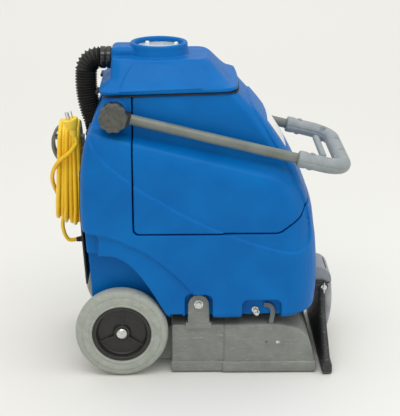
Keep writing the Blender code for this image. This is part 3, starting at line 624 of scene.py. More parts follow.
def base_moulding():
    """The base tank with its rear column: sculpted outside, hollow below for the machinery."""
    shell = sculpt_sides(envelope("base_moulding"))
    side_cut(shell, REAR_STRIP, 0.151)
    carve(shell, tank_place("tank_room", SEAM_GAP))
    hollow = envelope("base_hollow", WALL + 0.004, open_ends=True)
    side_cut(hollow, [(x + 0.008, z) for x, z in REAR_STRIP], 0.144)
    carve(hollow, tank_place("tank_floor", SEAM_GAP + WALL))
    carve(hollow, block("column_top", (-0.2, -0.2, 0.606), (0.2, 0.2, 0.75)))
    carve(hollow, block("channel_wall", (-0.12, -0.0355, 0.482), (-0.0215, 0.0355, 0.70)))
    side_cut(shell, ARCH_EDGE, ARCH_WALL, [(-0.11, 0.09)])
    side_cut(hollow, [(x + 0.006, z + 0.006) for x, z in ARCH_EDGE], ARCH_WALL - WALL, [(-0.11, 0.09)])
    for low_x, high_x, top in ((0.138, 0.198, 0.194), (0.262, 0.347, 0.182)):
        side_cut(shell, rounded_notch(low_x, high_x, top, 0.014), 0.144)
        side_cut(hollow, rounded_notch(low_x - WALL, high_x + WALL, top + WALL, 0.014), 0.144 - WALL)
    carve(shell, hollow)
    channel = [(-0.0265, -0.0305), (-0.0265, 0.0305), (-0.12, 0.0305), (-0.12, -0.0305)]
    carve(shell, stacked("hose_channel", [[(x, y, z) for x, y in channel] for z in (0.487, 0.70)]))
    bx, bz = HANDLE_PIVOT
    for side in (1, -1):
        carve(shell, bar("handle_boss", (bx, side * 0.112, bz), (bx, side * 0.1270, bz), 0.025), "UNION")
    px, pz = DECK_PIVOT
    carve(shell, bar("axle_hole", (AXLE[0], -0.2, AXLE[1]), (AXLE[0], 0.2, AXLE[1]), 0.0088))
    carve(shell, bar("pivot_hole", (px, -0.2, pz), (px, 0.2, pz), 0.0068))
    carve(shell, bar("hose_hole", (-0.0525, 0, 0.46), (-0.0525, 0, 0.50), 0.018))
    carve(shell, bar("fill_neck", (0.0, 0.07, 0.59), (0.0, 0.07, 0.65), 0.018))
    carve(shell, block("duct_hole", (0.40, -0.035, 0.178), (0.46, 0.035, 0.200)))
    return moulded_skin(shell, 0.0021, 2, 195000)


def tank_moulding():
    """The recovery tank: the body's front and top, open under the lid."""
    shell = sculpt_sides(envelope("tank_moulding"))
    carve(shell, tank_place("keep_tank", 0.0), "INTERSECT")
    hollow = envelope("tank_hollow", WALL + 0.003, open_ends=True)
    carve(hollow, tank_place("keep_hollow", -WALL), "INTERSECT")
    carve(shell, hollow)
    return moulded_skin(shell, 0.0021, 2, 175000)


def lid_moulding():
    """The domed lid: a low skirt, arched side pads, the neck to the hose and the window's ring."""
    dome = stacked("lid_moulding", [ring(level) for level in spread(DOME_LEVELS, 5)])
    pad = [(0.006, 0.630), (0.010, 0.645), (0.020, 0.664), (0.030, 0.676), (0.044, 0.681), (0.090, 0.6815),
           (0.112, 0.680), (0.130, 0.671), (0.152, 0.655), (0.176, 0.638), (0.180, 0.630)]
    pads = plate("side_pads", [Vector(p) for p in pad], -0.2, 0.2)
    grown = stacked("pad_depth", [ring(level, -0.0045) for level in spread(DOME_LEVELS[1:], 5)])
    carve(pads, grown, "INTERSECT")
    carve(dome, pads, "UNION")
    lip = [ring(DOME_LEVELS[0], 0.0), ring(DOME_LEVELS[0], -0.0022, 0.003),
           ring(DOME_LEVELS[0], -0.0020, 0.008),
           ring(DOME_LEVELS[1], 0.006, 0.003)]
    carve(dome, stacked("skirt_lip", lip), "UNION")
    collar = [(0.0, 0.040), (0.0645, 0.040), (0.0640, 0.052), (0.0622, 0.060), (0.0620, 0.066),
              (0.0616, 0.0705),
              (0.0598, 0.0728), (0.0565, 0.0732), (0.0530, 0.0722), (0.0512, 0.0700), (0.0510, 0.0602),
              (0.0, 0.0602)]
    carve(dome, lathed("window_ring", collar, (LID_X, 0, 0.640), (0, 0, 1), 64), "UNION")
    carve(dome, block("hose_neck", (-0.0162, -0.036, 0.668), (0.060, 0.036, 0.706), 0.012, 4), "UNION")
    hollow = stacked("dome_hollow", [ring(DOME_LEVELS[0], 0.005, -0.02)]
                     + [ring(level, 0.005, -0.005) for level in DOME_LEVELS])
    carve(dome, hollow)
    carve(dome, bar("mouth", (LID_X, 0, 0.699), (LID_X, 0, 0.75), 0.051, sides=64))
    carve(dome, bar("window_hole", (LID_X, 0, 0.66), (LID_X, 0, 0.75), 0.043, sides=48))
    carve(dome, bar("outlet", (-0.03, 0, 0.6785), (0.006, 0, 0.6785), 0.0185))
    return moulded_skin(dome, 0.0017, 3, 140000)


base = base_moulding()
tank = tank_moulding()
lid = lid_moulding()


# ---------------------------------------------------------------- wheels

def tyre_of(name, y):
    """A moulded tyre: bead, stepped side walls and a crowned tread."""
    half = [(0.0643, 0.0165), (0.0655, 0.0195), (0.0675, 0.0208), (0.0702, 0.0210), (0.0712, 0.0199),
            (0.0722, 0.0197), (0.0735, 0.0205), (0.0836, 0.0207), (0.0848, 0.0199), (0.0856, 0.0186),
            (0.0868, 0.0184), (0.0880, 0.0190), (0.0932, 0.0184), (0.0964, 0.0166), (0.0988, 0.0136),
            (0.1003, 0.0100), (0.1012, 0.0055), (0.1016, 0.0014)]
    profile = half + [(r, -h) for r, h in reversed(half)]
    piece = lathed(name, profile, (AXLE[0], y * (WHEEL_OUT - 0.021), AXLE[1]), (0, y, 0), 96)
    return soften(piece, 0.0004, 1, 28)


def hub_of(name, y):
    """The black wheel centre: a bevelled rim, a deep dish, three thin ribs and a boss."""
    profile = [(0.0083, 0.0115), (0.0150, 0.0115), (0.0172, 0.0100), (0.0180, 0.0045), (0.0200, 0.0025),
               (0.0510, 0.0025), (0.0535, 0.0050), (0.0548, 0.0150), (0.0560, 0.0168), (0.0590, 0.0178),
               (0.0632, 0.0170), (0.0640, 0.0155), (0.0640, -0.0155), (0.0600, -0.0170), (0.0550, -0.0160),
               (0.0530, -0.0020), (0.0200, -0.0020), (0.0172, -0.0170), (0.0083, -0.0180)]
    hub = lathed(name, profile, (0, 0, 0), (0, 0, 1), 72)
    for angle in (85, 205, 325):
        rib = stacked("rib", [
            [(0.0155, -0.0016, h), (0.0545, -0.0013, h), (0.0545, 0.0013, h), (0.0155, 0.0016, h)]
            for h in (0.0010, 0.0065)])
        for vert in rib.data.vertices:
            if vert.co.z > 0.005 and vert.co.x < 0.03:
                vert.co.z = 0.0100
        carve(hub, move(rib, Matrix.Rotation(math.radians(angle), 4, "Z")), "UNION")
    stand = Matrix(((1, 0, 0), (0, 0, -1), (0, 1, 0))).to_4x4()
    move(hub, Matrix.Translation((AXLE[0], -(WHEEL_OUT - 0.021), AXLE[1])) @ stand)
    if y > 0:
        move(hub, MIRROR)
    return soften(hub, 0.0007)


wheel_parts = {}
for side, y in SIDES.items():
    face = y * (WHEEL_OUT - 0.021 + 0.0123)
    cap = lathed(f"axle_cap_dome_{side}", [(0, 0), (0.0125, 0), (0.0127, 0.0012), (0.0122, 0.0030),
                                           (0.0105, 0.0052),
                                           (0.0070, 0.0066), (0.0035, 0.0070), (0.0030, 0.0064),
                                           (0, 0.0062)],
                 (AXLE[0], face, AXLE[1]), (0, y, 0), 40)
    wheel_parts[side] = (tyre_of(f"tyre_tread_{side}", y), hub_of(f"wheel_centre_{side}", y),
                         soften(cap, 0.0003, 1))


# ---------------------------------------------------------------- handle

HANDLE_DIR = Vector((math.cos(HANDLE_SLOPE), 0, math.sin(HANDLE_SLOPE)))
HANDLE_UP = Vector((-math.sin(HANDLE_SLOPE), 0, math.cos(HANDLE_SLOPE)))
HANDLE_FRAME = Matrix.Translation((HANDLE_PIVOT[0], 0, HANDLE_PIVOT[1])) @ Matrix(
    (HANDLE_DIR, Vector((0, 1, 0)), HANDLE_UP)).transposed().to_4x4()


def knob_of(name, y):
    """A clamp knob: ten soft lobes and a shallow dished face."""
    outline = []
    for k in range(120):
        turn = 2 * math.pi * k / 120
        r = 0.0300 - 0.0024 * (1 - math.cos(turn * 10)) / 2
        outline.append((HANDLE_PIVOT[0] + r * math.cos(turn), HANDLE_PIVOT[1] + r * math.sin(turn)))
    knob = plate(name, outline, *sorted((y * 0.1505, y * 0.1715)))
    dish = [(0, 0), (0.0215, 0), (0.0228, 0.0012), (0.0228, 0.004), (0, 0.004)]
    carve(knob, lathed("knob_dish", dish, (HANDLE_PIVOT[0], y * 0.1707, HANDLE_PIVOT[1]), (0, y, 0), 64))
    return soften(knob, 0.0016, 3, 50)


def bracket_of(name, y):
    """The textured bracket behind the knob: a round clamp face, teeth round its rim, and a socket arm."""
    px, pz = HANDLE_PIVOT
    body = bar(name, (px, y * 0.1274, pz), (px, y * 0.1500, pz), 0.0262, sides=48)
    for k in range(14):
        turn = 2 * math.pi * k / 14
        at = (px + 0.0262 * math.cos(turn), pz + 0.0262 * math.sin(turn))
        carve(body, bar("tooth", (at[0], y * 0.1285, at[1]), (at[0], y * 0.1492, at[1]), 0.0022,
                        sides=12), "UNION")
    arm = move(block("arm", (0.0, -0.0112, -0.0128), (0.0345, 0.0112, 0.0128)),
               Matrix.Translation((0, y * 0.1387, 0)) @ HANDLE_FRAME)
    carve(body, arm, "UNION")
    return soften(body, 0.0012, 2, 40)


handle_parts = {}
for side, y in SIDES.items():
    pipe = bar(f"handle_pipe_{side}", (0.0350, y * 0.1385, 0), (0.3950, y * 0.1385, 0), 0.0110, sides=40,
               round_by=0.0008)
    handle_parts[side] = (move(pipe, HANDLE_FRAME), bracket_of(f"handle_clamp_{side}", y),
                          knob_of(f"clamp_knob_lobed_{side}", y))


def grip_loop():
    """The moulded grip: a round loop with collared ends, a seam in its own plane and screw bosses."""
    bend = [(0.500 - 0.048 * (1 - math.sin(t)), 0.1385 - 0.048 * (1 - math.cos(t)))
            for t in (math.radians(90 * k / 10) for k in range(11))]
    legs = [(0.3953, 0.1385), (0.3965, 0.1385), (0.3985, 0.1385), (0.4100, 0.1385), (0.4150, 0.1385),
            (0.4320, 0.1385)]
    cross = [(0.500, 0.060), (0.500, 0.030), (0.500, 0.0)]
    half = [*legs, *bend, *cross]
    route = [(r, y, 0) for r, y in half] + [(r, -y, 0) for r, y in reversed(half[:-1])]
    girth = [0.0150, 0.0172, 0.0180, 0.0180, 0.0168, 0.0168] + [0.0170] * (len(bend) + len(cross))
    girth += girth[-2::-1]
    loop = tube("grip_loop", route, girth, 48)
    # the seam: one narrow groove round the outside and inside of the loop
    for k, vert in enumerate(loop.data.vertices):
        if abs(vert.co.z) < 0.0004 and 0.398 < vert.co.x:
            here = min(route, key=lambda p: (Vector(p) - vert.co).length_squared)
            vert.co = vert.co.lerp(Vector(here), 0.07)
    for reach, y in ((0.424, 0.1385), (0.424, -0.1385), (0.478, 0.118), (0.478, -0.118), (0.500, 0.045),
                     (0.500, -0.045)):
        for up in (1, -1):
            boss = lathed("boss", [(0.0024, 0.0), (0.0056, 0.0), (0.0058, 0.0172), (0.0050, 0.0182),
                                   (0.0032, 0.0182),
                                   (0.0024, 0.0150)], (reach, y, 0), (0, 0, up), 20)
            carve(loop, boss, "UNION")
    pick(loop)
    bpy.ops.object.shade_smooth_by_angle(angle=math.radians(40))
    return move(loop, HANDLE_FRAME)


grip = grip_loop()
trigger = move(block("trigger_lever", (0.452, -0.075, -0.0060), (0.466, 0.075, 0.0060), 0.0045, 4),
               HANDLE_FRAME)


# ---------------------------------------------------------------- brush deck

def deck_housing():
    """The brush deck: a set-back rear part, a prouder front part, a thick lower band and two lugs."""
    rear = [(0.109, 0.004), (0.109, 0.110), (0.1105, 0.1145), (0.115, 0.116), (0.232, 0.116),
            (0.232, 0.004)]
    deck = soften(plate("deck_housing", rear, -0.1515, 0.1515), 0.0045, 2, 60)
    front = [(0.2232, 0.004), (0.2232, 0.1175), (0.335, 0.1175), (0.354, 0.1155), (0.372, 0.111),
             (0.388, 0.1045),
             (0.400, 0.095), (0.409, 0.084), (0.416, 0.066), (0.421, 0.048), (0.425, 0.030), (0.425, 0.004)]
    carve(deck, soften(plate("front_part", front, -0.1560, 0.1560), 0.0055, 3, 60), "UNION")
    for low_x, high_x, half in ((0.107, 0.228, 0.1555), (0.2205, 0.4280, 0.1597)):
        band = [(low_x, 0.003), (high_x, 0.003), (high_x, 0.0285), (low_x, 0.0285)]
        carve(deck, soften(plate("lower_band", band, -half, half), 0.0038, 3, 60), "UNION")
    inside = [(0.114, -0.02), (0.114, 0.111), (0.330, 0.111), (0.352, 0.108), (0.385, 0.097),
              (0.403, 0.080),
              (0.419, 0.034), (0.420, -0.02)]
    carve(deck, plate("deck_hollow", inside, -0.1485, 0.1485))
    carve(deck, block("belt_slot", (0.245, 0.117, 0.09), (0.338, 0.141, 0.13)))
    px, pz = DECK_PIVOT
    bx, bz = BRUSH_AT
    for y in (1, -1):
        lug = [(0.1440, 0.108), (0.1445, 0.164), *reversed(arc(px, 0.164, 0.0232, 8, 172, 12)),
               (0.1920, 0.108)]
        carve(deck, soften(plate("lug", lug, *sorted((y * 0.1440, y * 0.1547))), 0.0025, 2, 60), "UNION")
        rim = [(0.1400, 0.108), (0.1400, 0.122), (0.1960, 0.122), (0.1960, 0.108)]
        carve(deck, plate("lug_foot", rim, *sorted((y * 0.1440, y * 0.1552))), "UNION")
        carve(deck, bar("pivot_hole", (px, y * 0.13, pz), (px, y * 0.17, pz), 0.0063))
        boss = bar("bearing", (bx, y * 0.1465, bz), (bx, y * 0.1535, bz), 0.016)
        carve(deck, boss, "UNION")
        carve(deck, bar("bearing_hole", (bx, y * 0.13, bz), (bx, y * 0.1495, bz), 0.0063))
        carve(deck, bar("small_hole", (0.3170, y * 0.1530, 0.0750), (0.3170, y * 0.17, 0.0750), 0.0022,
                        sides=16))
        carve(deck, block("hook_slot", (0.3185, *sorted((y * 0.1468, y * 0.1512))[:1], 0.107),
                          (0.3375, sorted((y * 0.1468, y * 0.1512))[1], 0.125)))
    tail = [(0.0760, 0.022), (0.0745, 0.080), (0.0800, 0.092), (0.1120, 0.098), (0.1120, 0.018),
            (0.0800, 0.018)]
    carve(deck, plate("rear_tail", tail, -0.1180, 0.1180), "UNION")
    pick(deck)
    bpy.ops.object.shade_smooth_by_angle(angle=math.radians(34))
    return deck


def bolt_of(name, x, z, y_face, y, head, washer, tall):
    """A hexagon bolt on a washer, seen from the side."""
    disc = lathed(name, [(0, 0), (washer, 0), (washer, 0.0010), (washer - 0.0004, 0.0014), (0, 0.0014)],
                  (x, y * y_face, z), (0, y, 0), 32)
    hexagon = bar("hexagon", (x, y * (y_face + 0.0013), z), (x, y * (y_face + tall), z), head, sides=6,
                  round_by=0.0006)
    return joined(name, disc, hexagon)


def strip_bar(name, path, thick, low, high):
    """A flat bar of even thickness bent along (x, z) points."""
    path = [Vector(p) for p in path]
    outer, inner = [], []
    for k, here in enumerate(path):
        along = (path[min(k + 1, len(path) - 1)] - path[max(k - 1, 0)]).normalized()
        side = Vector((-along.y, along.x)) * thick / 2
        outer.append(here + side)
        inner.append(here - side)
    return plate(name, [*outer, *reversed(inner)], low, high)


deck = deck_housing()
deck_parts = {}
for side, y in SIDES.items():
    px, pz = DECK_PIVOT
    hx, hz = HOOK_PIVOT
    stem = [(hx - 0.0005, hz + 0.010), (hx + 0.0005, hz + 0.024), (hx + 0.0030, hz + 0.040),
            (hx + 0.0025, hz + 0.0500), (hx - 0.0010, hz + 0.0570), (hx - 0.0070, hz + 0.0610),
            (hx - 0.0160, hz + 0.0615)]
    hook = strip_bar(f"lift_hook_bar_{side}", curve_through(stem, 0.004), 0.0105,
                     *sorted((y * 0.1475, y * 0.1508)))
    pivot = bolt_of(f"pivot_bolt_head_{side}", px, pz, 0.1552, y, 0.0078, 0.0105, 0.0075)
    shank = bar("shank", (px, y * 0.1385, pz), (px, y * 0.1560, pz), 0.0058, sides=24)
    stud = bolt_of(f"lift_stud_pair_{side}", 0.2915, 0.1485, 0.1445, y, 0.0048, 0.0078, 0.0100)
    second = bolt_of("second", 0.2948, 0.1425, 0.1462, y, 0.0046, 0.0070, 0.0108)
    screw = lathed(f"deck_screw_{side}", [(0, 0), (0.0044, 0), (0.0042, 0.0012), (0.0026, 0.0022),
                                          (0.0022, 0.0010),
                                          (0, 0.0010)], (0.3420, y * 0.1555, 0.0740), (0, y, 0), 24)
    deck_parts[side] = (soften(hook, 0.0010, 2), joined(f"pivot_bolt_head_{side}", pivot, shank),
                        joined(f"lift_stud_pair_{side}", stud, second), screw)


# ---------------------------------------------------------------- vacuum shoe

def flat_ring(x_low, x_high, half, z, corner, steps=6):
    """One level of the shoe: a rounded box round the middle."""
    r = min((x_high - x_low) / 2 - 0.0003, corner, half - 0.0003)
    points = []
    for sx, sy, start in ((1, 1, 0), (-1, 1, 90), (-1, -1, 180), (1, -1, 270)):
        cx = x_high - r if sx > 0 else x_low + r
        points += [(x, y, z) for x, y in arc(cx, sy * (half - r), r, start, start + 90, steps)]
    return points


def shoe_fan():
    """The pick-up shoe: a thin fan with a rolled edge on each side and a thick foot."""
    levels = [(0.4415, 0.4620, 0.1700, 0.002, 0.004), (0.4405, 0.4635, 0.1703, 0.006, 0.006),
              (0.4410, 0.4630, 0.1700, 0.022, 0.006), (0.4440, 0.4580, 0.1660, 0.029, 0.005),
              (0.4450, 0.4570, 0.1330, 0.056, 0.005), (0.4445, 0.4570, 0.0890, 0.085, 0.005),
              (0.4440, 0.4570, 0.0600, 0.112, 0.005), (0.4430, 0.4570, 0.0470, 0.146, 0.005),
              (0.4430, 0.4570, 0.0450, 0.166, 0.005)]
    fan = stacked("shoe_fan", [flat_ring(*level) for level in spread_fan(levels)])
    for y in (1, -1):
        edge = [(0.4480, y * 0.0480, 0.160), (0.4490, y * 0.0500, 0.140), (0.4495, y * 0.0640, 0.110),
                (0.4500, y * 0.0900, 0.084), (0.4505, y * 0.1270, 0.058), (0.4510, y * 0.1560, 0.034),
                (0.4515, y * 0.1630, 0.024)]
        route = curve_through(edge, 0.004)
        carve(fan, tube("rolled_edge", route, [0.0078] * len(route), 20), "UNION")
    inner = [(0.4450, 0.4600, 0.1650, -0.02, 0.003), (0.4450, 0.4600, 0.1650, 0.004, 0.003),
             (0.4470, 0.4545, 0.1600, 0.026, 0.003), (0.4480, 0.4540, 0.0860, 0.085, 0.003),
             (0.4470, 0.4540, 0.0420, 0.140, 0.003), (0.4470, 0.4540, 0.0400, 0.20, 0.003)]
    carve(fan, stacked("fan_hollow", [flat_ring(*level) for level in inner]))
    return moulded_skin(fan, 0.0014, 3, 90000)


def spread_fan(levels):
    """The fan's levels with in-between ones on straight lines."""
    fine = []
    for a, b in zip(levels, levels[1:]):
        fine += [tuple(p + (q - p) * k / 4 for p, q in zip(a, b)) for k in range(4)]
    return fine + [levels[-1]]


def shoe_bulge():
    """The smooth grey duct down the front of the fan."""
    levels = [(0.4520, 0.4575, 0.0300, 0.030, 0.012), (0.4515, 0.4620, 0.0400, 0.046, 0.012),
              (0.4510, 0.4680, 0.0460, 0.070, 0.014), (0.4500, 0.4722, 0.0470, 0.095, 0.014),
              (0.4490, 0.4740, 0.0470, 0.118, 0.014), (0.4470, 0.4735, 0.0465, 0.142, 0.014),
              (0.4400, 0.4720, 0.0460, 0.160, 0.013), (0.4385, 0.4708, 0.0455, 0.1664, 0.012)]
    fine = spread([(a, z, b, z + 0.0001, half, r, 1.0) for a, b, half, z, r in levels], 3)
    duct = stacked("shoe_bulge", [flat_ring(a, b, half, z, r, 8) for a, z, b, _, half, r, _ in fine])
    carve(duct, stacked("bulge_hollow", [flat_ring(0.4530, 0.4560, 0.027, 0.034, 0.001),
                                         flat_ring(0.4530, 0.4640, 0.040, 0.080, 0.004),
                                         flat_ring(0.4500, 0.4690, 0.042, 0.120, 0.008),
                                         flat_ring(0.4430, 0.4670, 0.042, 0.200, 0.008)]))
    return soften(duct, 0.0010, 2, 50)


def duct_elbow():
    """The fixed elbow over the shoe, which turns the air back into the body."""
    outline = [(0.4335, 0.1700), (0.4706, 0.1700), (0.4702, 0.1780), (0.4680, 0.1870), (0.4630, 0.1950),
               (0.4550, 0.2015), (0.4450, 0.2050), (0.4335, 0.2062)]
    elbow = plate("duct_elbow", outline, -0.0455, 0.0455)
    carve(elbow, block("elbow_bore", (0.42, -0.036, 0.178), (0.460, 0.036, 0.199)))
    carve(elbow, block("elbow_mouth", (0.441, -0.036, 0.15), (0.462, 0.036, 0.190)))
    return soften(elbow, 0.0045, 5, 50)


fan = shoe_fan()
bulge = shoe_bulge()
elbow = duct_elbow()
shoe_parts = {}
for side, y in SIDES.items():
    sx, sz = SHOE_PIVOT
    ear = plate(f"shoe_ear_{side}", [(0.4305, 0.150), (0.4305, 0.176), (0.4520, 0.176), (0.4590, 0.172),
                                     (0.4630, 0.163),
                                     (0.4610, 0.154), (0.4550, 0.150)], *sorted((y * 0.0470, y * 0.0505)))
    carve(ear, bar("ear_hole", (sx, y * 0.04, sz), (sx, y * 0.06, sz), 0.0038, sides=20))
    pin = bar(f"shoe_wing_knob_{side}", (sx, y * 0.0466, sz), (sx, y * 0.0600, sz), 0.0034, sides=20,
              round_by=0.0006)
    collar = bar("collar", (sx, y * 0.0507, sz), (sx, y * 0.0555, sz), 0.0070, sides=24, round_by=0.0008)
    wing = block("wing", (sx - 0.0018, *sorted((y * 0.0530, y * 0.0600))[:1], sz - 0.0125),
                 (sx + 0.0018, sorted((y * 0.0530, y * 0.0600))[1], sz + 0.0125), 0.0014, 3)
    shoe_parts[side] = (soften(ear, 0.0006), joined(f"shoe_wing_knob_{side}", pin, collar, wing))


# ---------------------------------------------------------------- hose and cuffs

def corrugated_hose():
    """The vacuum hose: a wire helix under thin PVC stands out as sharp ridges 6 mm apart."""
    top, turn = 0.6785, 0.029
    route = [(-0.0403, 0, top), (-0.0415, 0, top)]
    route += [(-0.0425 - turn * math.sin(t), 0, top - turn * (1 - math.cos(t)))
              for t in (math.radians(15 * k) for k in range(1, 7))]
    route += [(-0.0725, 0, 0.620), (-0.0690, 0, 0.585), (-0.0610, 0, 0.553), (-0.0545, 0, 0.532),
              (-0.0525, 0, 0.5150), (-0.0525, 0, 0.5123)]
    fine = curve_through(route, 0.00145)
    ridge = (0.0196, 0.0208, 0.0240, 0.0208)
    return tube("corrugated_hose", fine, [ridge[k % 4] for k in range(len(fine))], 36)


hose = corrugated_hose()
pick(hose)
bpy.ops.object.shade_smooth_by_angle(angle=math.radians(75))
lid_cuff = lathed("lid_hose_cuff", [
    (0.0185, 0.0), (0.0232, 0.0), (0.0240, 0.0010), (0.0240, 0.0095), (0.0226, 0.0105), (0.0222, 0.0118),
    (0.0232, 0.0128), (0.0240, 0.0138), (0.0240, 0.0225), (0.0230, 0.0235), (0.0185, 0.0235)],
    (-0.0165, 0, 0.6785), (-1, 0, 0), 56)
soften(lid_cuff, 0.0004, 2)
base_cuff = lathed("base_hose_cuff", [
    (0.0200, 0.0003), (0.0250, 0.0003), (0.0250, 0.0060), (0.0238, 0.0070), (0.0238, 0.0180),
    (0.0250, 0.0190),
    (0.0250, 0.0240), (0.0240, 0.0250), (0.0228, 0.0250), (0.0200, 0.0240)], (-0.0525, 0, 0.487),
    (0, 0, 1), 56)
soften(base_cuff, 0.0004, 2)


# ---------------------------------------------------------------- back: panel, switches, cord hook

panel_skin = [(-0.0738, 0.200), (-0.0775, 0.262), (-0.0809, 0.323), (-0.0829, 0.380), (-0.0804, 0.456)]
panel = plate("switch_panel", [*((x - 0.0003, z) for x, z in panel_skin),
                               *((x - 0.0040, z) for x, z in reversed(panel_skin))], -0.118, 0.118)
SWITCHES = (("vacuum", -0.0852, 0.350), ("pump", -0.0858, 0.390), ("brush", -0.0846, 0.430))
rockers = {}
for name, x, z in SWITCHES:
    carve(panel, block("switch_pocket", (x - 0.02, 0.0795, z - 0.0125), (x + 0.0022, 0.0965, z + 0.0125)))
    shape = [(-0.0005, -0.0085), (-0.0044, -0.0105), (-0.0049, -0.0098), (-0.0037, 0.0), (-0.0060, 0.0098),
             (-0.0058, 0.0105), (-0.0005, 0.0085)]
    rocker = plate(f"{name}_rocker", [(x + a, z + b) for a, b in shape], 0.0815, 0.0945)
    rockers[name] = soften(rocker, 0.0005)
carve(panel, bar("breaker_hole", (-0.10, 0.088, 0.318), (-0.0770, 0.088, 0.318), 0.0058))
soften(panel, 0.0010, 2)
breaker = lathed("breaker_cap", [(0, 0), (0.0054, 0), (0.0054, 0.0060), (0.0048, 0.0072),
                                 (0.0030, 0.0075), (0, 0.0075)],
                 (-0.0841, 0.088, 0.318), (-1, 0, 0), 24)
screws = []
for y in (-0.110, 0.0, 0.110):
    for x, z in ((-0.0788, 0.215), (-0.0852, 0.448)):
        screws.append(lathed("panel_screws", [(0, 0), (0.0042, 0), (0.0038, 0.0012), (0.0024, 0.0022),
                                              (0.0020, 0.0012),
                                              (0, 0.0012)], (x + 0.0010, y, z), (-1, 0, 0), 20))
panel_screws = joined("panel_screws", *screws)

bar_path = [(-0.1165, 0.5060), (-0.1235, 0.5190), (-0.1320, 0.5240), (-0.1400, 0.5190), (-0.1465, 0.5070),
            (-0.1490, 0.4950), (-0.1485, 0.4780), (-0.1430, 0.4620), (-0.1345, 0.4480)]
hook_bar = strip_bar("cord_hook_bar", curve_through(bar_path, 0.004), 0.0060, -0.0130, 0.0130)
carve(hook_bar, block("hook_arm", (-0.1465, -0.0125, 0.4990), (-0.0806, 0.0125, 0.5050)), "UNION")
carve(hook_bar, block("hook_foot", (-0.0844, -0.0130, 0.4640), (-0.0808, 0.0130, 0.5030)), "UNION")
soften(hook_bar, 0.0022, 4, 40)
foot_screw = lathed("hook_foot_screw", [(0, 0), (0.0045, 0), (0.0040, 0.0014), (0.0025, 0.0024),
                                        (0.0020, 0.0014),
                                        (0, 0.0014)], (-0.0843, 0, 0.476), (-1, 0, 0), 24)

# ---------------------------------------------------------------- lid fittings

window = lathed("window_disc", [(0, 0.0), (0.0505, 0.0), (0.0507, 0.0008), (0.0507, 0.0024),
                                (0.0498, 0.0030),
                                (0, 0.0031)], (LID_X, 0, 0.6993), (0, 0, 1), 72)
soften(window, 0.0003, 1)
window_screws = []
for k in range(4):
    turn = math.radians(35 + 90 * k)
    place = (LID_X + 0.0452 * math.cos(turn), 0.0452 * math.sin(turn), 0.7022)
    window_screws.append(lathed("window_screws", [(0, 0), (0.0046, 0), (0.0044, 0.0020), (0.0034, 0.0034),
                                                  (0.0016, 0.0038), (0, 0.0038)], place, (0, 0, 1), 20))
window_screws = joined("window_screws", *window_screws)


def front_decal():
    """A plain white film on the front slope, with no mark on it, laid along the tank's own levels."""
    rows = [level for level in BODY_FINE if 0.490 < level[3] < 0.556]
    bpy.ops.mesh.primitive_grid_add(x_subdivisions=16, y_subdivisions=len(rows) - 1, size=2)
    film = bpy.context.object
    film.name = "front_decal"
    for vert in film.data.vertices:
        y = 0.070 * vert.co.x
        level = rows[round((vert.co.y + 1) / 2 * (len(rows) - 1))]
        vert.co = (level[2] - 0.012 * (y / 0.172) ** 2 + 0.0004, y, level[3] + 0.0003)
    return apply(film, "SOLIDIFY", thickness=0.0008, offset=0.0)


decal = front_decal()
hinges = {side: bar(f"hinge_barrel_{side}", (-0.0425, y * 0.062, 0.6245), (-0.0425, y * 0.100, 0.6245),
                    0.0036,
                    sides=20, round_by=0.0006) for side, y in SIDES.items()}


# ---------------------------------------------------------------- brush roller

def bristle_roller():
    """The brush: a core, and rows of short nylon tufts set in a spiral."""
    bx, bz = BRUSH_AT
    core = bar("brush_core", (bx, -0.137, bz), (bx, 0.112, bz), 0.0330, sides=36, round_by=0.002)
    pulley = lathed("pulley", [(0, 0), (0.026, 0), (0.026, 0.015), (0, 0.015)], (bx, 0.120, bz),
                    (0, 1, 0), 40)
    shaft = bar("shaft", (bx, -0.148, bz), (bx, 0.148, bz), 0.0058, sides=20)
    core = joined("brush_core", core, pulley, shaft)
    tuft = stacked("tuft", [[(r * math.cos(t), r * math.sin(t),
                              z) for t in (math.radians(60 * k) for k in range(6))]
                            for r, z in ((0.0026, 0.0), (0.0034, 0.0150))])
    tufts = [tuft]
    for row in range(26):
        for k in range(14):
            turn = math.radians(360 * k / 14 + 9 * row)
            place = Matrix.Translation((bx, -0.131 + 0.0094 * row, bz)) @ Matrix.Rotation(turn, 4, "Y")
            tufts.append(copy_of(tuft, "tuft_copy", place @ Matrix.Translation((0, 0, 0.0308))))
    bristles = joined("bristle_tufts", *tufts[1:])
    bpy.data.objects.remove(tuft)
    return core, bristles


brush_core, bristles = bristle_roller()


# ---------------------------------------------------------------- finishes

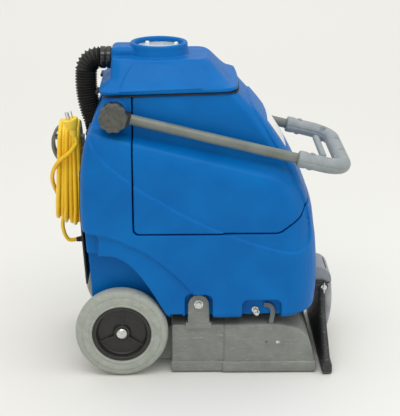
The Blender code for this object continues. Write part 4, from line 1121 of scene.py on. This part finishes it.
def rotomoulded_blue():
    """Polyethylene powder fused inside a hot mould: a soft satin skin, slightly waxy, with a fine orange
    peel, faint cloudy shade from its uneven wall, and light rubs."""
    made, tree, shader, place = finish_of("rotomoulded_polyethylene_blue", ior=1.51,
                                          specular_ior_level=0.13)
    # wall clouds about 90 mm across, powder mottle about 2.5 mm, orange peel about 1.4 mm
    clouds = node(tree, "ShaderNodeTexNoise", {"Vector": place, "Scale": 11.0, "Detail": 3.0})
    mottle = node(tree, "ShaderNodeTexNoise", {"Vector": place, "Scale": 400.0, "Detail": 3.0,
                                               "Roughness": 0.7})
    peel = node(tree, "ShaderNodeTexNoise", {"Vector": place, "Scale": 700.0, "Detail": 2.0})
    shade = node(tree, "ShaderNodeMath", {0: mottle.outputs["Fac"], 1: 0.35}, operation="MULTIPLY")
    both = node(tree, "ShaderNodeMath", {0: clouds.outputs["Fac"], 1: shade.outputs[0]}, operation="ADD")
    stops = ((0.40, "#005ea8"), (0.68, "#0066b1"), (0.96, "#006db8"))
    tint = node(tree, "ShaderNodeValToRGB", {"Fac": both.outputs[0]}, stops).outputs["Color"]
    tree.links.new(tint, shader.inputs["Base Color"])
    # rubs: long thin scuffs that dull the satin, about 30 mm by 2 mm
    stretch = node(tree, "ShaderNodeMapping", {"Vector": place, "Rotation": (0.2, 0.5, 0.1),
                                               "Scale": (30, 60, 420)})
    rubs = node(tree, "ShaderNodeTexNoise", {"Vector": stretch.outputs[0], "Scale": 1.0, "Detail": 4.0})
    gloss = node(tree, "ShaderNodeMapRange", {"Value": rubs.outputs["Fac"], "From Min": 0.35,
                                              "From Max": 0.75,
                                              "To Min": 0.36, "To Max": 0.52})
    tree.links.new(gloss.outputs[0], shader.inputs["Roughness"])
    bump = node(tree, "ShaderNodeBump", {"Height": peel.outputs["Fac"], "Strength": 0.22,
                                         "Distance": 0.0006})
    tree.links.new(bump.outputs[0], shader.inputs["Normal"])
    return made


def moulded_finish(name, low, high, gloss, patch, peel, peel_depth, scuffs=None, **sockets):
    """A moulded or coated finish: two shades in patches, a surface grain, and pale scuffs where given.
    patch and peel are sizes in millimetres; gloss is the roughness from and to."""
    made, tree, shader, place = finish_of(name, **sockets)
    tone = node(tree, "ShaderNodeTexNoise", {"Vector": place, "Scale": 1000 / patch, "Detail": 5.0,
                                             "Roughness": 0.62})
    stops = ((0.32, low), (0.68, high))
    tint = node(tree, "ShaderNodeValToRGB", {"Fac": tone.outputs["Fac"]}, stops).outputs["Color"]
    grain = node(tree, "ShaderNodeTexNoise", {"Vector": place, "Scale": 1000 / peel, "Detail": 3.0})
    if scuffs:
        stretch = node(tree, "ShaderNodeMapping", {"Vector": place, "Rotation": (0.3, 0.9, 0.2),
                                                   "Scale": (60, 60, 700)})
        marks = node(tree, "ShaderNodeTexNoise", {"Vector": stretch.outputs[0], "Scale": 1.0,
                                                  "Detail": 5.0})
        pale = node(tree, "ShaderNodeMapRange", {"Value": marks.outputs["Fac"], "From Min": 0.60,
                                                 "From Max": 0.74})
        mixed = node(tree, "ShaderNodeMix", {"Factor": pale.outputs[0]}, data_type="RGBA")
        tree.links.new(tint, mixed.inputs[6])
        mixed.inputs[7].default_value = linear(scuffs)
        tint = mixed.outputs[2]
    tree.links.new(tint, shader.inputs["Base Color"])
    rough = node(tree, "ShaderNodeMapRange", {"Value": tone.outputs["Fac"], "From Min": 0.3,
                                              "From Max": 0.7,
                                              "To Min": gloss[0], "To Max": gloss[1]})
    tree.links.new(rough.outputs[0], shader.inputs["Roughness"])
    bump = node(tree, "ShaderNodeBump", {"Height": grain.outputs["Fac"], "Strength": 0.5,
                                         "Distance": peel_depth})
    tree.links.new(bump.outputs[0], shader.inputs["Normal"])
    return made


BLUE = rotomoulded_blue()
# Soft jacket drawn through a die: smooth, faintly shiny, in patches of a deeper and a paler yellow
YELLOW_PVC = moulded_finish(
    "extruded_pvc_yellow",
    "#f7c413", "#ffdd3c", (0.34, 0.44), 90, 1.2, 0.00006, ior=1.53, subsurface_weight=0.0)
# Cured rubber: deep black with a dusty bloom and no clear highlight
BLACK_RUBBER = moulded_finish(
    "moulded_rubber_black",
    "#101010", "#1d1c1b", (0.55, 0.70), 12, 0.9, 0.0003, ior=1.52)
# Injection-moulded ABS from a polished tool: glossy black with a sharp highlight
BLACK_GLOSS = moulded_finish(
    "polished_abs_black",
    "#0c0b0b", "#181615", (0.10, 0.20), 20, 2.0, 0.00008, ior=1.53)
# Injection-moulded ABS from an etched tool: satin black with a fine leathery grain
BLACK_SATIN = moulded_finish(
    "textured_abs_black",
    "#121212", "#232220", (0.42, 0.58), 8, 0.7, 0.0004, ior=1.53)
# Speckled grey polyethylene, scuffed pale by carpets and door frames
DECK_GREY = moulded_finish(
    "rotomoulded_polyethylene_grey",
    "#757974", "#858983", (0.44, 0.58), 30, 1.1, 0.0003, "#a9aca5", ior=1.51)
# Injection-moulded nylon with glass fibre: dull dark grey with a dry mottle
KNOB_GREY = moulded_finish(
    "glass_filled_nylon_grey",
    "#3d3e39", "#5b5c56", (0.50, 0.66), 6, 0.8, 0.0004, ior=1.53)
# Tube sprayed with powder and baked: an even warm grey, fine orange peel
TUBE_GREY = moulded_finish(
    "powder_coated_steel_grey",
    "#676d66", "#767c75", (0.34, 0.44), 40, 1.0, 0.0002, ior=1.50, coat_weight=0.15)
# Two moulded halves screwed together: matt light grey, handled smooth
GRIP_GREY = moulded_finish(
    "moulded_polypropylene_grey",
    "#868d90", "#989fa2", (0.48, 0.62), 25, 0.9, 0.0003, ior=1.49)
# Grey tyre rubber: matt, dusty, with dull pale wear on the tread
TYRE_GREY = moulded_finish(
    "non_marking_rubber_grey",
    "#979c94", "#a9ada4", (0.66, 0.80), 14, 1.0, 0.0005, ior=1.52)
# Moulded wheel centre: warm black, satin, dusty in its corners
HUB_BLACK = moulded_finish(
    "moulded_nylon_black",
    "#171614", "#2b2925", (0.38, 0.52), 16, 1.0, 0.0003, ior=1.53)
# Sand-cast shoe sprayed black-grey: rough skin with pale chips and dust specks
SHOE_GREY = moulded_finish(
    "cast_aluminium_painted",
    "#1f2120", "#393b3a", (0.45, 0.62), 3.5, 1.6, 0.0006, "#8d908f", ior=1.50)
# Blow-moulded duct: smooth light grey with a soft sheen
DUCT_GREY = moulded_finish(
    "moulded_polyethylene_light_grey",
    "#868b8f", "#a2a6a9", (0.40, 0.52), 30, 1.2, 0.0003, ior=1.51)
# Bent strip, powder coated: mid grey, its edges rubbed a little brighter
HOOK_GREY = moulded_finish(
    "powder_coated_strip_grey",
    "#5c6363", "#727979", (0.38, 0.50), 12, 1.0, 0.0002, ior=1.50)
# Rolled and plated: bright grey metal with faint blotches from the plating bath
STEEL = moulded_finish(
    "zinc_plated_steel",
    "#c6c8c5", "#dcddd9", (0.18, 0.26), 9, 0.6, 0.00002, metallic=1.0)
# Drawn steel can sprayed black: even, slightly glossy
MOTOR_BLACK = moulded_finish(
    "painted_motor_steel",
    "#161616", "#242424", (0.30, 0.45), 20, 1.5, 0.0002, ior=1.50)
# Thick clear disc over a dark tank, painted milky white: the white is a painted reflection of the bright room
# above it
WINDOW_PAINTED_REFLECTION = moulded_finish(
    "polycarbonate_painted_reflection",
    "#cfcfc6", "#e2e1d9", (0.22, 0.34), 30, 2.0, 0.0001, ior=1.58, coat_weight=0.3)
# Die-cut vinyl film pressed flat: even white with a low sheen
DECAL = moulded_finish(
    "vinyl_decal_white",
    "#e9ebeb", "#eff0f0", (0.32, 0.38), 60, 2.0, 0.00005, ior=1.48)
# Rocker lens: deep glossy red
RED_ROCKER = moulded_finish(
    "moulded_polycarbonate_red",
    "#a3100c", "#b91813", (0.12, 0.2), 20, 2.0, 0.00005, ior=1.58)
# Cut nylon filament: off-white, dull at the tips where carpet has worn it
BRISTLE = moulded_finish(
    "nylon_bristle_white",
    "#b9b7ab", "#d8d6cc", (0.50, 0.70), 3, 0.8, 0.0003, ior=1.53)


# ---------------------------------------------------------------- floor

bpy.ops.mesh.primitive_plane_add(size=40)
floor = bpy.context.object
floor.name = "floor"
paper, tree, shader, place = finish_of("studio_paper", roughness=0.75, specular_ior_level=0.2)
fibre = node(tree, "ShaderNodeTexNoise", {"Vector": place, "Scale": 300.0, "Detail": 3.0})
stops = ((0.3, "#e6e5e1"), (0.7, "#e9e8e4"))
tint = node(tree, "ShaderNodeValToRGB", {"Fac": fibre.outputs["Fac"]}, stops).outputs["Color"]
tree.links.new(tint, shader.inputs["Base Color"])
floor.data.materials.append(paper)


# ---------------------------------------------------------------- into the frame

settle(cord, "base", YELLOW_PVC, "cord_lead", "cord_tail", "cord_hank", slot="cord_yellow")
settle(relief, "base", BLACK_RUBBER, "strain_relief", slot="black_plastic")
settle(plug, "base", YELLOW_PVC, "plug", slot="cord_yellow")
settle(blades, "base", STEEL, slot="steel")
settle(base, "base", BLUE, "base_tank", slot="rotomoulded_blue")
settle(tank, "base", BLUE, "recovery_tank", slot="rotomoulded_blue")
settle(lid, "lid", BLUE, "dome_lid", slot="rotomoulded_blue")
for side in SIDES:
    tyre, hub, cap = wheel_parts[side]
    settle(tyre, f"{side}_wheel", TYRE_GREY, f"tyre_{side}", slot="tyre_grey")
    settle(hub, f"{side}_wheel", HUB_BLACK, f"wheel_hub_{side}", slot="black_plastic")
    settle(cap, "base", STEEL, f"axle_cap_{side}", slot="steel")
    pipe, clamp, knob = handle_parts[side]
    settle(pipe, "handle", TUBE_GREY, f"handle_tube_{side}", slot="tube_grey")
    settle(clamp, "handle", BLACK_SATIN, f"handle_bracket_{side}", slot="dark_grey")
    settle(knob, f"{side}_clamp", KNOB_GREY, f"clamp_knob_{side}", slot="dark_grey")
    hook, pivot, stud, screw = deck_parts[side]
    settle(hook, f"{side}_hook", HOOK_GREY, f"lift_hook_{side}", slot="tube_grey")
    settle(pivot, "base", STEEL, f"deck_pivot_bolt_{side}", slot="steel")
    settle(stud, "base", STEEL, f"lift_stud_{side}", slot="steel")
    settle(screw, "deck", STEEL, slot="steel")
    ear, wing_knob = shoe_parts[side]
    settle(ear, "base", SHOE_GREY, f"shoe_bracket_{side}", slot="dark_grey")
    settle(wing_knob, f"{side}_shoe_knob", STEEL, f"shoe_knob_{side}", slot="steel")
    settle(hinges[side], "base", BLACK_SATIN, f"lid_hinge_{side}", slot="black_plastic")
settle(grip, "handle", GRIP_GREY, "grip", slot="grip_grey")
settle(trigger, "trigger", GRIP_GREY, "trigger_bar", slot="grip_grey")
settle(deck, "deck", DECK_GREY, "brush_housing", slot="deck_grey")
settle(fan, "shoe", SHOE_GREY, "vac_shoe", slot="dark_grey")
settle(bulge, "shoe", DUCT_GREY, slot="dark_grey")
settle(elbow, "base", DUCT_GREY, "shoe_duct", slot="dark_grey")
settle(hose, None, BLACK_RUBBER, "vacuum_hose", slot="hose_black")
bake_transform(hose)
settle(lid_cuff, "lid", BLACK_GLOSS, "lid_cuff", slot="black_plastic")
settle(base_cuff, "base", BLACK_GLOSS, "base_cuff", slot="black_plastic")
settle(panel, "base", BLACK_SATIN, "rear_panel", slot="black_plastic")
for name in ("vacuum", "pump", "brush"):
    settle(rockers[name], f"{name}_rocker", RED_ROCKER if name == "vacuum" else BLACK_GLOSS,
           f"{name}_switch",
           slot="switch_red" if name == "vacuum" else "black_plastic")
settle(breaker, "breaker", BLACK_GLOSS, "breaker_button", slot="black_plastic")
settle(panel_screws, "base", STEEL, slot="steel")
settle(hook_bar, "base", HOOK_GREY, "cord_hook", slot="tube_grey")
settle(foot_screw, "base", STEEL, slot="steel")
# The window's milky white is a painted reflection, not a haze in the disc
settle(window, "lid", WINDOW_PAINTED_REFLECTION, "lid_window", slot="window_clear")
settle(window_screws, "lid", DECAL, slot="white_plastic")
settle(decal, "base", DECAL, slot="white_plastic")
settle(brush_core, "brush", BLACK_SATIN, "brush_roller", slot="black_plastic")
settle(bristles, "brush", BRISTLE, slot="bristle")

# The carried-over nodes inside the machine take their real finishes
INSIDE = {
    "axle": STEEL, "motor_pulley": STEEL, "vacuum_motor": MOTOR_BLACK, "brush_motor": MOTOR_BLACK,
    "solution_pump": MOTOR_BLACK, "solution_tank": DUCT_GREY, "solution_cap": BLACK_SATIN,
    "drive_belt": BLACK_RUBBER,
    "spray_bar": BLACK_SATIN, "lid_gasket": BLACK_RUBBER, "float_cage": BLACK_SATIN, "float_ball": DECAL,
}
for name, material in INSIDE.items():
    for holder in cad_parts[name].material_slots:
        holder.material = material
